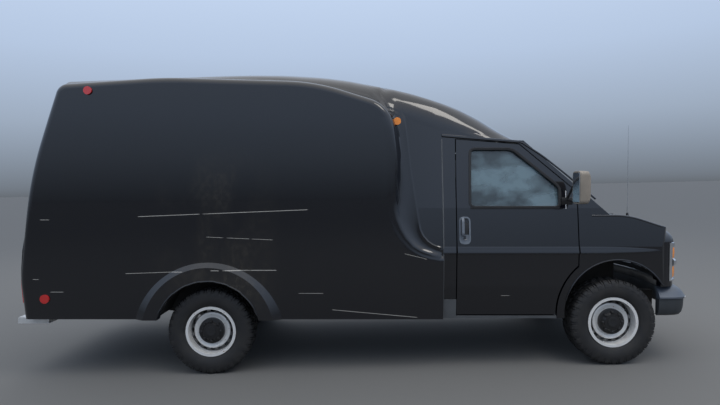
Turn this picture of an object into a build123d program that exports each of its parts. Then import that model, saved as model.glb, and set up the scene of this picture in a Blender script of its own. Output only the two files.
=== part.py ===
from build123d import *
import math
import os

# Camper van: a moulded high-roof body on a cutaway van cab and ladder frame. Millimetres.
# X points forward, Y to the left and Z up. Every piece is drawn level, with the sill horizontal and
# X = 0 at mid length, and the stance at the end sets the van down on its tyres, nose low.

# Wheels and track
WHEELBASE = 3531.0
FRONT_HUB_X = 2215.0
FRONT_HUB_Z = 375.0
REAR_HUB_X = FRONT_HUB_X - WHEELBASE
REAR_HUB_Z = 293.0
TYRE_RADIUS = 375.0
TYRE_WIDTH = 245.0
BEAD_RADIUS = 203.0
WHEEL_Y = 864.0
KINGPIN_Y = 742.0
CAP_RADIUS = 111.0

# Side view levels
SILL_Z = 415.0
FLOOR_TOP_Z = 680.0
FLOOR_THICK = 40.0
BELT_Z = 1017.0
DRIP_REAR = (719.0, 2034.0)
DRIP_FRONT = (1424.0, 1976.0)
SCREEN_TOP = (1433.0, 1989.0)
SCREEN_BASE = (2172.0, 1345.0)
COWL_Z = 1325.0
BODY_FRONT_X = 715.0
DOOR_REAR_X = 838.0
DOOR_FRONT_X = 1886.0
FENDER_REAR_X = 1896.0

# Walls and gaps
BODY_WALL = 45.0
CAB_WALL = 85.0
NOSE_WALL = 34.0
DOOR_GAP = 9.0
ARCH_STRIP_GAP = 15.0
SEAT_GAP = 0.3
PIN_CLEARANCE = 0.3

# Cab section, half of it: width and height of each corner from the rocker up
CAB_SECTION = [
    (965.0, 395.0),
    (996.0, 700.0),
    (1006.0, 987.0),
    (1006.0, 1047.0),
    (965.0, 1379.0),
    (850.0, 2000.0),
    (800.0, 2270.0),
]

# Moulded body core, one row for each station along X:
# station x, crown height, eave half-width, eave height, eave radius
CORE_STATIONS = [
    (-3000.0, 2560.0, 880.0, 2490.0, 180.0),
    (-1797.0, 2610.0, 880.0, 2540.0, 180.0),
    (-543.0, 2604.0, 870.0, 2530.0, 180.0),
    (174.0, 2500.0, 845.0, 2410.0, 180.0),
    (712.0, 2350.0, 815.0, 2245.0, 180.0),
    (1560.0, 2020.0, 850.0, 1925.0, 120.0),
]

# Side slab of the body: half-width at the sill, the belt and the roof
SLAB_SILL_Y = 1012.0
SLAB_BELT_Y = 1035.0
SLAB_TOP_Y = 985.0
SLAB_TOP_Z = 2600.0
# Side view of the slab, one row for each corner: x, z, radius, the way inwards along x and along z,
# and 1 where the corner is convex or -1 where it is hollow
SLAB_OUTLINE = [
    (-2930.0, SILL_Z, 0.0, 1, -1, 1),
    (-2958.0, 760.0, 900.0, 1, 0, 1),
    (-2850.0, 1660.0, 3500.0, 1, 0, 1),
    (-2615.0, 2455.0, 110.0, 1, -1, 1),
    (-1700.0, 2515.0, 3500.0, 0, -1, 1),
    (-400.0, 2478.0, 1800.0, 0, -1, 1),
    (300.0, 2262.0, 300.0, -1, -1, 1),
    (290.0, 980.0, 420.0, -1, -1, -1),
    (BODY_FRONT_X, 980.0, 0.0, 0, -1, 1),
    (BODY_FRONT_X, SILL_Z, 0.0, 0, -1, 1),
]
SLAB_EDGE_RADIUS = 60.0
CORE_TOP_CORNER = (-2600.0, 2545.0)
CORE_TOP_RADIUS = 130.0

# Wheel arches
REAR_ARCH_RADIUS = 455.0
REAR_ARCH_Z = 297.0
FLARE_RADIUS = 645.0
FLARE_PROUD = 22.0
FRONT_ARCH_X = 2232.0
FRONT_ARCH_Z = 480.0
FRONT_ARCH_RADIUS = 450.0
DOOR_ARCH_RADIUS = 530.0

# Rear doorway and its doors
REAR_DOOR_HALF = 880.0
REAR_DOOR_LOW_Z = 520.0
REAR_DOOR_TOP_Z = 2060.0
REAR_DOOR_THICK = 45.0
REAR_DOOR_GAP = 9.0
REAR_MID_GAP = 7.0
FLOOR_TAIL_X = -2892.0
REAR_GLASS_LOW_Z = 1330.0
REAR_GLASS_TOP_Z = 1860.0
REAR_GLASS_IN_Y = 120.0
REAR_GLASS_OUT_Y = 760.0

# Front door
DOOR_LOW_Z = 448.0
DOOR_HINGE_X = 1830.0
DOOR_HINGE_Y = 988.0
DOOR_HINGE_LEVELS = (935.0, 1065.0)
HINGE_PIN_R = 5.0
GLASS_THICK = 6.0

# Nose
NOSE_FRONT_X = 2935.0
NOSE_PLAN_RADIUS = 1850.0
NOSE_PLAN_HALF = 1012.0
HOOD_HALF = 742.0
HOOD_GAP = 8.0
HOOD_REAR_X = 2318.0
HOOD_PIN_X = 2340.0
HOOD_PIN_DROP = 17.0
HOOD_PIN_R = 6.0
LAMP_LOW_Z = 738.0
LAMP_TOP_Z = 1084.0
GRILLE_HALF = 610.0
LAMP_HALF = 930.0

BUMPER_REAR_X = 2608.0
BUMPER_LOW_Z = 428.0
BUMPER_TOP_Z = 690.0
BUMPER_WALL = 60.0
BUMPER_PLAN_RADIUS = 1960.0
BUMPER_HALF = 985.0
BUMPER_CORNER = 160.0

# Chassis
RAIL_Y = 400.0
RAIL_WIDTH = 70.0
RAIL_LOW_Z = 400.0
RAIL_TOP_Z = 560.0
RAIL_WALL = 8.0
CROSS_LOW_Z = 440.0
AXLE_TUBE_R = 45.0
SPINDLE_R = 30.0
HUB_FACE_Y = 893.0

SIDES = {"right": -1, "left": 1}

os.makedirs("parts", exist_ok=True)


def cab_section(inset):
    """Corners of the cab's cross-section, each side moved in by inset."""
    right = [(y - inset, z) for y, z in CAB_SECTION]
    left = [(-y, z) for y, z in reversed(right)]
    return right + left


def cab_block(inset, rear_x, front_x):
    """Solid bar of the cab's cross-section between two stations."""
    with BuildPart() as bar:
        with BuildSketch(Plane.YZ.offset(rear_x)):
            with BuildLine():
                Polyline(*cab_section(inset), close=True)
            make_face()
        extrude(amount=front_x - rear_x)
    return bar.part


def block(x0, x1, y0, y1, z0, z1):
    """Plain box between two corners."""
    with BuildPart() as body:
        with BuildSketch(Plane.XY.offset(z0)):
            with Locations(((x0 + x1) / 2, (y0 + y1) / 2)):
                Rectangle(x1 - x0, y1 - y0)
        extrude(amount=z1 - z0)
    return body.part


def side_prism(corners, radii, half_width):
    """Solid with a side-view outline, as wide as twice half_width."""
    with BuildPart() as prism:
        with BuildSketch(Plane.XZ):
            with BuildLine():
                FilletPolyline(*corners, radius=radii, close=True)
            make_face()
        extrude(amount=half_width, both=True)
    return prism.part


# Windscreen plane: origin at the foot of the posts, z along the slope to the header
SCREEN_RUN = SCREEN_TOP[0] - SCREEN_BASE[0]
SCREEN_RISE = SCREEN_TOP[1] - SCREEN_BASE[1]
SCREEN_LENGTH = math.hypot(SCREEN_RUN, SCREEN_RISE)
SCREEN_PLANE = Plane(
    origin=(SCREEN_BASE[0], 0, SCREEN_BASE[1]),
    x_dir=(0, 1, 0),
    z_dir=(SCREEN_RUN, 0, SCREEN_RISE),
)
SCREEN_HALF = 850.0
SCREEN_BULGE = 70.0
SCREEN_GLASS = 8.0


def screen_band(drop_out, drop_in, start, end):
    """Curved band along the windscreen, between two depths below its outer face."""
    half = SCREEN_HALF + 250.0
    curve = SCREEN_BULGE * (half / SCREEN_HALF) ** 2
    foot = curve - SCREEN_BULGE
    with BuildPart() as band:
        with BuildSketch(SCREEN_PLANE.offset(start)):
            with BuildLine():
                outer = ThreePointArc(
                    (-half, foot + drop_out),
                    (0, -SCREEN_BULGE + drop_out),
                    (half, foot + drop_out),
                )
                inner = ThreePointArc(
                    (-half, foot + drop_in),
                    (0, -SCREEN_BULGE + drop_in),
                    (half, foot + drop_in),
                )
                Line(outer @ 0, inner @ 0)
                Line(outer @ 1, inner @ 1)
            make_face()
        extrude(amount=end - start)
    return band.part


screen_outside = screen_band(-700.0, 0.0, -700.0, SCREEN_LENGTH + 500.0)


def core_section(station, inset):
    """Arch section of the body core at one station, inset all round but open below."""
    x, crown, eave_y, eave_z, radius = station
    with BuildSketch(Plane.YZ.offset(x)) as arch:
        with BuildLine():
            half = [
                (965.0 - inset, SILL_Z - inset),
                (1006.0 - inset, BELT_Z),
                (965.0 - inset, 1379.0),
                (eave_y - inset, eave_z - inset * 0.6),
            ]
            corners = half + [(0, crown - inset)] + [(-y, z) for y, z in reversed(half)]
            shoulder = radius - inset
            FilletPolyline(
                *corners,
                radius=[0, 0, 0, shoulder, 2500.0, shoulder, 0, 0, 0],
                close=True,
            )
        make_face()
    return arch.sketch


def slab_form(inset):
    """Wide side slab of the body, from the tail to the cab, rounded along its edges."""
    corners = []
    radii = []
    for x, z, radius, in_x, in_z, turn in SLAB_OUTLINE:
        corners.append((x + inset * in_x, z + inset * in_z))
        radii.append(max(radius - inset * turn, 0.0) if radius > 0 else 0.0)
    # A hollow or a band runs on past the open front end
    corners[-2:] = [(x + abs(inset), z) for x, z in corners[-2:]]
    with BuildPart() as form:
        with BuildSketch(Plane.YZ.offset(SLAB_OUTLINE[1][0] - 50.0)):
            with BuildLine():
                flank = [
                    (SLAB_SILL_Y - inset, SILL_Z - 2 * inset),
                    (SLAB_BELT_Y - inset, BELT_Z),
                    (SLAB_TOP_Y - inset, SLAB_TOP_Z),
                ]
                left = ThreePointArc(*flank)
                right = ThreePointArc(*[(-y, z) for y, z in flank])
                Line(left @ 0, right @ 0)
                Line(left @ 1, right @ 1)
            make_face()
        extrude(amount=4000.0)
        add(side_prism(corners, radii, SLAB_BELT_Y + 50.0), mode=Mode.INTERSECT)
        flanks = [form.faces().sort_by(Axis.Y)[end] for end in (0, -1)]
        rim = flanks[0].edges() + flanks[1].edges()
        rim = rim.filter_by(lambda e: e.center().Z > SILL_Z + inset)
        rim = rim.filter_by(lambda e: e.center().X < BODY_FRONT_X - 1.0)
        fillet(rim, radius=SLAB_EDGE_RADIUS - inset)
    return form.part


def core_form(inset):
    """Narrower core of the body, which carries the roof and reaches over the cab."""
    corners = []
    radii = []
    for x, z, radius, in_x, in_z, turn in SLAB_OUTLINE[:3]:
        corners.append((x + inset * in_x, z - inset if in_z else z))
        radii.append(max(radius - inset, 0.0))
    corners.append((CORE_TOP_CORNER[0] + inset, CORE_TOP_CORNER[1] - inset * 0.4))
    radii.append(CORE_TOP_RADIUS - inset)
    for corner in [(-1500.0, 2760.0), (1700.0, 2760.0), (1700.0, SILL_Z - inset)]:
        corners.append(corner)
        radii.append(0.0)
    with BuildPart() as form:
        loft(sections=[core_section(station, inset) for station in CORE_STATIONS])
        add(side_prism(corners, radii, 1100.0), mode=Mode.INTERSECT)
    return form.part


# The moulded body: shell, arches with their flares, tail doorway, and the cap over the cab
core_hollow = core_form(BODY_WALL) - screen_band(-700.0, 70.0, -700.0, SCREEN_LENGTH + 500.0)
cab_below = side_prism(
    [
        (BODY_FRONT_X, SILL_Z - 100.0),
        (BODY_FRONT_X, DRIP_REAR[1]),
        DRIP_FRONT,
        (1800.0, DRIP_FRONT[1]),
        (1800.0, SILL_Z - 100.0),
    ],
    0,
    1200.0,
)
with BuildPart() as body_shell:
    add(slab_form(0.0))
    for side in SIDES.values():
        with BuildSketch(Plane.XZ.offset(-side * (SLAB_BELT_Y - 20.0))):
            with Locations((REAR_HUB_X, REAR_ARCH_Z)):
                Circle(FLARE_RADIUS)
        extrude(amount=-side * (FLARE_PROUD + 20.0), taper=60.0)
    with BuildSketch(Plane.XY.offset(SILL_Z)):
        Rectangle(7000.0, 3000.0)
    extrude(amount=-1000.0, mode=Mode.SUBTRACT)
    add(core_form(0.0))
    add(slab_form(BODY_WALL), mode=Mode.SUBTRACT)
    add(core_hollow, mode=Mode.SUBTRACT)
    add(screen_outside, mode=Mode.SUBTRACT)
    add(cab_below, mode=Mode.SUBTRACT)
    with BuildSketch(Plane.XZ):
        with Locations((REAR_HUB_X, REAR_ARCH_Z)):
            Circle(REAR_ARCH_RADIUS)
    extrude(amount=1300.0, both=True, mode=Mode.SUBTRACT)
    with BuildSketch(Plane.YZ.offset(-3100.0)):
        with Locations((0, (REAR_DOOR_LOW_Z + REAR_DOOR_TOP_Z) / 2)):
            Rectangle(2 * REAR_DOOR_HALF, REAR_DOOR_TOP_Z - REAR_DOOR_LOW_Z)
    extrude(amount=600.0, mode=Mode.SUBTRACT)

# Load floor between the walls, with a box over each rear wheel
WHEEL_BOX_Y = 690.0
WHEEL_BOX_WALL = 12.0
with BuildPart() as body_floor:
    with BuildSketch(Plane.XY.offset(FLOOR_TOP_Z - FLOOR_THICK)):
        with Locations((-1200.0, 0)):
            Rectangle(3829.4, 2200.0)
    extrude(amount=FLOOR_THICK)
    for side in SIDES.values():
        for inner_y, radius, mode in [
            (WHEEL_BOX_Y, REAR_ARCH_RADIUS + WHEEL_BOX_WALL, Mode.ADD),
            (WHEEL_BOX_Y + WHEEL_BOX_WALL, REAR_ARCH_RADIUS, Mode.SUBTRACT),
        ]:
            with BuildSketch(Plane.XZ.offset(-side * inner_y)):
                with Locations((REAR_HUB_X, REAR_ARCH_Z)):
                    Circle(radius)
            extrude(amount=-side * 400.0, mode=mode)
    add(slab_form(BODY_WALL + SEAT_GAP), mode=Mode.INTERSECT)
    with BuildSketch(Plane.XY.offset(SILL_Z + 25.0)):
        Rectangle(7000.0, 3000.0)
    extrude(amount=-1000.0, mode=Mode.SUBTRACT)
    add(
        block(-3100.0, FLOOR_TAIL_X, -REAR_DOOR_HALF, REAR_DOOR_HALF, 600.0, 700.0),
        mode=Mode.SUBTRACT,
    )


def door_outline(grow):
    """Corners of the front door's side view, grown by a gap, and the arc at its foot."""
    rear = DOOR_REAR_X - grow
    front = DOOR_FRONT_X + grow
    low = DOOR_LOW_Z - grow
    radius = DOOR_ARCH_RADIUS - grow
    arch_top = FRONT_ARCH_Z + math.sqrt(radius**2 - (FRONT_ARCH_X - front) ** 2)
    arch_foot = FRONT_ARCH_X - math.sqrt(radius**2 - (FRONT_ARCH_Z - low) ** 2)
    middle = math.radians(162.0)
    arc = [
        (front, arch_top),
        (FRONT_ARCH_X + radius * math.cos(middle), FRONT_ARCH_Z + radius * math.sin(middle)),
        (arch_foot, low),
    ]
    corners = [
        (arch_foot, low),
        (rear, low),
        (rear, DOOR_TOP_REAR_Z + grow),
        (DOOR_BEND[0] + grow * 0.35, DOOR_BEND[1] + grow),
        (front, DOOR_SHOULDER_Z + grow * 0.455),
        (front, arch_top),
    ]
    return corners, arc


DOOR_TOP_REAR_Z = 1985.0
DOOR_BEND = (1405.0, 1940.0)
DOOR_SHOULDER_Z = 1521.0
DOOR_WINDOW = [
    (952.0, 1385.0),
    (967.0, 1900.0),
    (1341.0, 1900.0),
    (1748.0, 1560.0),
    (1738.0, 1385.0),
]
WINDOW_CORNER = 40.0
PROJECT_Y = 600.0


def door_prism(side, grow):
    """Block through the side of the cab with the door's outline, its rear edge swept about the hinge."""
    corners, arc = door_outline(grow)
    with BuildPart() as prism:
        with BuildSketch(Plane.XZ.offset(-side * PROJECT_Y)):
            with BuildLine():
                Polyline(*corners)
                ThreePointArc(*arc)
            make_face()
        extrude(amount=-side * PROJECT_Y)
        with BuildSketch(Plane.XY.offset(300.0)):
            with Locations((DOOR_HINGE_X, side * DOOR_HINGE_Y)):
                Circle(DOOR_HINGE_X - DOOR_REAR_X + grow)
        extrude(amount=2000.0, mode=Mode.INTERSECT)
    return prism.part


def window_prism(side, shrink):
    """Block with the outline of the door's window."""
    with BuildPart() as prism:
        with BuildSketch(Plane.XZ.offset(-side * PROJECT_Y)):
            with BuildLine():
                FilletPolyline(*DOOR_WINDOW, radius=WINDOW_CORNER, close=True)
            make_face()
            if shrink > 0:
                offset(amount=-shrink)
        extrude(amount=-side * PROJECT_Y)
    return prism.part


# Windscreen glass
with BuildPart() as windshield:
    add(screen_band(0.0, SCREEN_GLASS, 14.0, SCREEN_LENGTH - 30.0))
    add(cab_block(30.0, 1000.0, 2500.0), mode=Mode.INTERSECT)
    add(
        block(1000.0, 2500.0, -1100.0, 1100.0, 1000.0, DRIP_FRONT[1] - SEAT_GAP),
        mode=Mode.INTERSECT,
    )

# Cab shell: side frames with posts, header, cowl, firewall with the hinge posts, and floor
POST_INSET = 118.0
CAB_FLOOR_HALF = 876.0
COWL_FRONT_X = 2306.0
COWL_TOP_Z = 1320.0
HINGE_EYE_R = 8.0
LUG_HALF = 6.0
frame_outline = [
    (BODY_FRONT_X, SILL_Z),
    (BODY_FRONT_X, DRIP_REAR[1]),
    DRIP_FRONT,
    (1700.0, DRIP_FRONT[1]),
    (2330.0, 1380.0),
    (2330.0, COWL_TOP_Z),
    (FENDER_REAR_X, COWL_TOP_Z),
    (FENDER_REAR_X, 900.0),
    (1700.0, 640.0),
    (1700.0, SILL_Z),
]
firewall_outline = [
    (1690.0, FLOOR_TOP_Z - FLOOR_THICK),
    (1735.0, FLOOR_TOP_Z - FLOOR_THICK),
    (FENDER_REAR_X - 1.0, 850.0),
    (FENDER_REAR_X - 1.0, COWL_TOP_Z + 8.0),
    (1854.0, COWL_TOP_Z + 8.0),
    (1854.0, 875.0),
    (1690.0, FLOOR_TOP_Z),
]
DRIP_PROUD = 11.0
DRIP_DEPTH = 12.0
drip_outline = [
    (BODY_FRONT_X + 2.0, DRIP_REAR[1] - 3.0),
    (DRIP_FRONT[0] - 2.0, DRIP_FRONT[1] - 3.0),
    (DRIP_FRONT[0] - 2.0, DRIP_FRONT[1] - 3.0 - DRIP_DEPTH),
    (BODY_FRONT_X + 2.0, DRIP_REAR[1] - 3.0 - DRIP_DEPTH),
]
with BuildPart() as cab_shell:
    add(cab_block(0.0, BODY_FRONT_X, 2400.0))
    add(cab_block(CAB_WALL, BODY_FRONT_X - 10.0, 2410.0), mode=Mode.SUBTRACT)
    with BuildSketch(Plane.XY.offset(1930.0)):
        with Locations((1420.0, 0)):
            Rectangle(180.0, 1700.0)
    extrude(amount=60.0)
    with BuildSketch(Plane.XY.offset(COWL_TOP_Z)):
        with Locations((2060.0, 0)):
            Rectangle(400.0, 1880.0)
    extrude(amount=22.0)
    add(side_prism(frame_outline, 0, 1100.0), mode=Mode.INTERSECT)
    add(screen_outside, mode=Mode.SUBTRACT)
    add(windshield.part, mode=Mode.SUBTRACT)
    for side in SIDES.values():
        add(door_prism(side, DOOR_GAP), mode=Mode.SUBTRACT)
    add(side_prism(firewall_outline, 0, 1100.0) & cab_block(POST_INSET, 1600.0, 2000.0))
    with BuildSketch(Plane.XY.offset(FLOOR_TOP_Z - FLOOR_THICK)):
        with Locations((1205.0, 0)):
            Rectangle(980.0 - 2 * SEAT_GAP, 2 * CAB_FLOOR_HALF)
    extrude(amount=FLOOR_THICK)
    floor_rear_x = BODY_FRONT_X + SEAT_GAP
    add(block(floor_rear_x, 828.0, -930.0, 930.0, FLOOR_TOP_Z - FLOOR_THICK, FLOOR_TOP_Z))
    for side in SIDES.values():
        w0, w1 = sorted((side * (CAB_FLOOR_HALF - 26.0), side * CAB_FLOOR_HALF))
        add(block(floor_rear_x, 1695.0, w0, w1, SILL_Z + 3.0, FLOOR_TOP_Z))
        w0, w1 = sorted((side * (CAB_FLOOR_HALF - 26.0), side * 900.0))
        add(block(floor_rear_x, 1695.0, w0, w1, SILL_Z + 3.0, DOOR_LOW_Z - DOOR_GAP))
    with BuildSketch(Plane.XY.offset(1180.0)):
        with Locations(((1860.0 + COWL_FRONT_X) / 2, 0)):
            Rectangle(COWL_FRONT_X - 1860.0, 2 * (HOOD_HALF + HOOD_GAP - SEAT_GAP))
    extrude(amount=COWL_TOP_Z - 1180.0)
    rails = cab_block(-DRIP_PROUD, BODY_FRONT_X, 1800.0) - cab_block(5.0, BODY_FRONT_X - 9.0, 1900.0)
    add(rails & side_prism(drip_outline, 0, 1100.0))
    for side in SIDES.values():
        with BuildSketch(Plane.XY.offset(690.0)):
            with Locations((1853.0, side * 868.0)):
                Rectangle(82.0, 24.0)
        extrude(amount=500.0)
        for level in DOOR_HINGE_LEVELS:
            with BuildSketch(Plane.XY.offset(level - 28.0)):
                with Locations((DOOR_HINGE_X, side * DOOR_HINGE_Y)):
                    Circle(HINGE_PIN_R)
            extrude(amount=56.0)
            for lug_z in (level - 28.0, level + 16.0):
                with BuildSketch(Plane.XY.offset(lug_z)):
                    with Locations((DOOR_HINGE_X, side * DOOR_HINGE_Y)):
                        Circle(HINGE_EYE_R)
                    with Locations((DOOR_HINGE_X, side * (DOOR_HINGE_Y + 870.0) / 2)):
                        Rectangle(2 * LUG_HALF, DOOR_HINGE_Y - 870.0)
                extrude(amount=12.0)

# Front doors with their handles and hinge sleeves, and the glass in them
# Handle rows: rear x, front x, depth outside and inside the skin, low z, top z
DOOR_HANDLE = [
    (866.0, 930.0, 4.0, -12.0, 1076.0, 1278.0),
    (888.0, 908.0, 24.0, -8.0, 1112.0, 1132.0),
    (888.0, 908.0, 24.0, -8.0, 1222.0, 1242.0),
    (888.0, 908.0, 24.0, 15.0, 1130.0, 1224.0),
]
front_doors = {}
door_glasses = {}
for name, side in SIDES.items():
    with BuildPart() as door:
        add(cab_block(0.0, 800.0, 1900.0))
        add(cab_block(CAB_WALL, 790.0, 1910.0), mode=Mode.SUBTRACT)
        add(door_prism(side, 0.0), mode=Mode.INTERSECT)
        add(window_prism(side, 0.0), mode=Mode.SUBTRACT)
        for rear_x, front_x, out, back, low_z, top_z in DOOR_HANDLE:
            grip = cab_block(-out, rear_x, front_x) - cab_block(-back, 800.0, 1000.0)
            y0, y1 = sorted((side * 700.0, side * 1100.0))
            add(grip & block(rear_x - 1.0, front_x + 1.0, y0, y1, low_z, top_z))
        for level in DOOR_HINGE_LEVELS:
            with BuildSketch(Plane.XY.offset(level - 40.0)):
                with Locations((1855.0, side * 923.5)):
                    Rectangle(100.0, 147.0)
            extrude(amount=80.0, mode=Mode.SUBTRACT)
            with BuildSketch(Plane.XY.offset(level - 15.0)):
                with Locations((DOOR_HINGE_X, side * DOOR_HINGE_Y)):
                    Circle(HINGE_EYE_R)
                with Locations((DOOR_HINGE_X - 15.0, side * DOOR_HINGE_Y)):
                    Rectangle(30.0, 10.0)
            extrude(amount=30.0)
            with BuildSketch(Plane.XY.offset(level - 41.0)):
                with Locations((DOOR_HINGE_X, side * DOOR_HINGE_Y)):
                    Circle(HINGE_PIN_R + PIN_CLEARANCE)
            extrude(amount=82.0, mode=Mode.SUBTRACT)
    front_doors[name] = door
    with BuildPart() as glass:
        add(cab_block(22.0, 800.0, 1900.0))
        add(cab_block(22.0 + GLASS_THICK, 790.0, 1910.0), mode=Mode.SUBTRACT)
        add(window_prism(side, SEAT_GAP), mode=Mode.INTERSECT)
    door_glasses[name] = glass


def nose_form(inset):
    """Nose of the cab as one closed form: cab section, rounded plan and hood line."""
    line = [
        (1600.0, 300.0),
        (1600.0, COWL_TOP_Z - inset - SEAT_GAP),
        (2330.0, COWL_TOP_Z - inset - SEAT_GAP),
        (2815.0, 1160.0 - inset),
        (2980.0 - inset, 1000.0 - inset),
        (2980.0 - inset, 300.0),
    ]
    with BuildPart() as form:
        with BuildSketch(Plane.XY.offset(300.0)):
            with Locations((NOSE_FRONT_X - NOSE_PLAN_RADIUS, 0)):
                Circle(NOSE_PLAN_RADIUS - inset)
            with Locations((2300.0, 0)):
                Rectangle(1600.0, 2 * (NOSE_PLAN_HALF - inset), mode=Mode.INTERSECT)
            fillet(vertices().group_by(Axis.X)[-1], radius=110.0 - inset)
        extrude(amount=1200.0)
        add(side_prism(line, [0, 0, 700.0, 110.0 - inset, 0, 0], 1100.0), mode=Mode.INTERSECT)
        add(cab_block(inset, 1600.0, 3000.0), mode=Mode.INTERSECT)
    return form.part


nose_outer = nose_form(0.0)
nose_skin = nose_outer - nose_form(NOSE_WALL)
lamp_skin = nose_outer - nose_form(60.0)
LAMP_REAR_X = 2690.0
AMBER_Y = 872.0

with BuildPart() as hood:
    add(nose_skin)
    add(block(HOOD_REAR_X, 3000.0, -HOOD_HALF, HOOD_HALF, LAMP_TOP_Z + 12.0, 1400.0), mode=Mode.INTERSECT)
    for side in SIDES.values():
        with BuildSketch(Plane.XZ.offset(-side * (HOOD_HALF - 46.0))):
            with Locations((HOOD_PIN_X, COWL_TOP_Z - HOOD_PIN_DROP)):
                Circle(HOOD_PIN_R + PIN_CLEARANCE)
        extrude(amount=-side * 60.0, mode=Mode.SUBTRACT)

fenders = {}
for name, side in SIDES.items():
    inner_y = side * (HOOD_HALF + HOOD_GAP)
    y0, y1 = sorted((inner_y, side * 1100.0))
    with BuildPart() as fender:
        # Strip along the arch behind the door line, then the wing itself ahead of it
        with BuildSketch(Plane.XZ.offset(-side * (HOOD_HALF + HOOD_GAP))):
            with Locations((FRONT_ARCH_X, FRONT_ARCH_Z)):
                Circle(DOOR_ARCH_RADIUS - ARCH_STRIP_GAP)
            with Locations((2500.0, 900.0)):
                Rectangle(2 * (2500.0 - FENDER_REAR_X), 1000.0)
            with Locations((FRONT_ARCH_X, FRONT_ARCH_Z)):
                Circle(FRONT_ARCH_RADIUS, mode=Mode.SUBTRACT)
        extrude(amount=-side * 400.0)
        add(nose_skin, mode=Mode.INTERSECT)
        add(block(1000.0, 3000.0, -1100.0, 1100.0, 0.0, SILL_Z), mode=Mode.SUBTRACT)
        add(block(LAMP_REAR_X, 3000.0, y0, y1, 0.0, LAMP_TOP_Z + 8.0), mode=Mode.SUBTRACT)
        add(block(BUMPER_REAR_X - 8.0, 3000.0, y0, y1, 0.0, BUMPER_TOP_Z + 8.0), mode=Mode.SUBTRACT)
        with BuildSketch(Plane.XZ.offset(-side * (HOOD_HALF - 44.0))):
            with Locations((HOOD_PIN_X, COWL_TOP_Z - HOOD_PIN_DROP)):
                Circle(HOOD_PIN_R)
        extrude(amount=-side * 60.0)
    fenders[name] = fender

# Lamps and grille fill the face between the fenders, under the hood's lip
with BuildPart() as headlamps:
    add(lamp_skin)
    add(
        block(LAMP_REAR_X + SEAT_GAP, 3000.0, -AMBER_Y, AMBER_Y, LAMP_LOW_Z, LAMP_TOP_Z),
        mode=Mode.INTERSECT,
    )
    add(
        block(2000.0, 3000.0, -GRILLE_HALF - SEAT_GAP, GRILLE_HALF + SEAT_GAP, 0.0, 1400.0),
        mode=Mode.SUBTRACT,
    )

with BuildPart() as grille:
    add(lamp_skin)
    add(block(2000.0, 3000.0, -GRILLE_HALF, GRILLE_HALF, 705.0, LAMP_TOP_Z), mode=Mode.INTERSECT)
    with BuildSketch(Plane.YZ.offset(2860.0)):
        with Locations((0, (705.0 + LAMP_TOP_Z) / 2)):
            with GridLocations(290.0, 62.0, 4, 5):
                Rectangle(262.0, 40.0)
    extrude(amount=200.0, mode=Mode.SUBTRACT)

# Front bumper, wrapped round the corners, with its brackets to the rails
with BuildPart() as front_bumper:
    for inset, mode in [(0.0, Mode.ADD), (BUMPER_WALL, Mode.SUBTRACT)]:
        with BuildSketch(Plane.XY.offset(BUMPER_LOW_Z)):
            with Locations((NOSE_FRONT_X - NOSE_PLAN_RADIUS, 0)):
                Circle(BUMPER_PLAN_RADIUS - inset)
            with Locations((2900.0, 0)):
                Rectangle(
                    2 * (2900.0 - BUMPER_REAR_X),
                    2 * (BUMPER_HALF - inset),
                    mode=Mode.INTERSECT,
                )
            fillet(vertices().group_by(Axis.X)[-1], radius=BUMPER_CORNER - inset)
        extrude(amount=BUMPER_TOP_Z - BUMPER_LOW_Z, mode=mode)
    for side in SIDES.values():
        with BuildSketch(Plane.XY.offset(RAIL_LOW_Z + 30.0)):
            with Locations((2900.0, side * RAIL_Y)):
                Rectangle(100.0 - 2 * SEAT_GAP, RAIL_WIDTH)
        extrude(amount=100.0)
# Rear doors: the tail's skin inside the doorway, each on two barrel hinges outside the skin
rear_band = slab_form(0.0) - slab_form(REAR_DOOR_THICK)
rear_glass_band = slab_form(20.0) - slab_form(20.0 + GLASS_THICK)
REAR_PIN_Y = REAR_DOOR_HALF - 4.0
REAR_PIN_R = 6.0
REAR_BARREL_R = 12.0
REAR_SLEEVE = 60.0
REAR_LUG = 22.0
REAR_LUG_GAP = 1.0
REAR_LEAF = (6.0, 34.0)
# Middle of the lower and of the upper hinge: x, z
REAR_HINGES = [(-2964.0, 900.0), (-2847.0, 1700.0)]
rear_lean = Vector(REAR_HINGES[1][0] - REAR_HINGES[0][0], 0, REAR_HINGES[1][1] - REAR_HINGES[0][1])


def hinge_plane(side, hinge, lift):
    """Plane across a rear door's hinge line, its x along Y and its y towards the rear."""
    foot = Vector(hinge[0], side * REAR_PIN_Y, hinge[1]) + rear_lean.normalized() * lift
    return Plane(origin=foot, x_dir=(0, 1, 0), z_dir=rear_lean.normalized())


def hinge_part(plane, reach, height):
    """Barrel and leaf of a rear hinge, the leaf reaching sideways from the barrel into the skin."""
    with BuildPart() as lug:
        with BuildSketch(plane):
            Circle(REAR_BARREL_R)
            with Locations((reach / 2, -(REAR_LEAF[0] + REAR_LEAF[1]) / 2)):
                Rectangle(abs(reach), REAR_LEAF[1] - REAR_LEAF[0])
        extrude(amount=height)
    return lug.part


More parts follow.
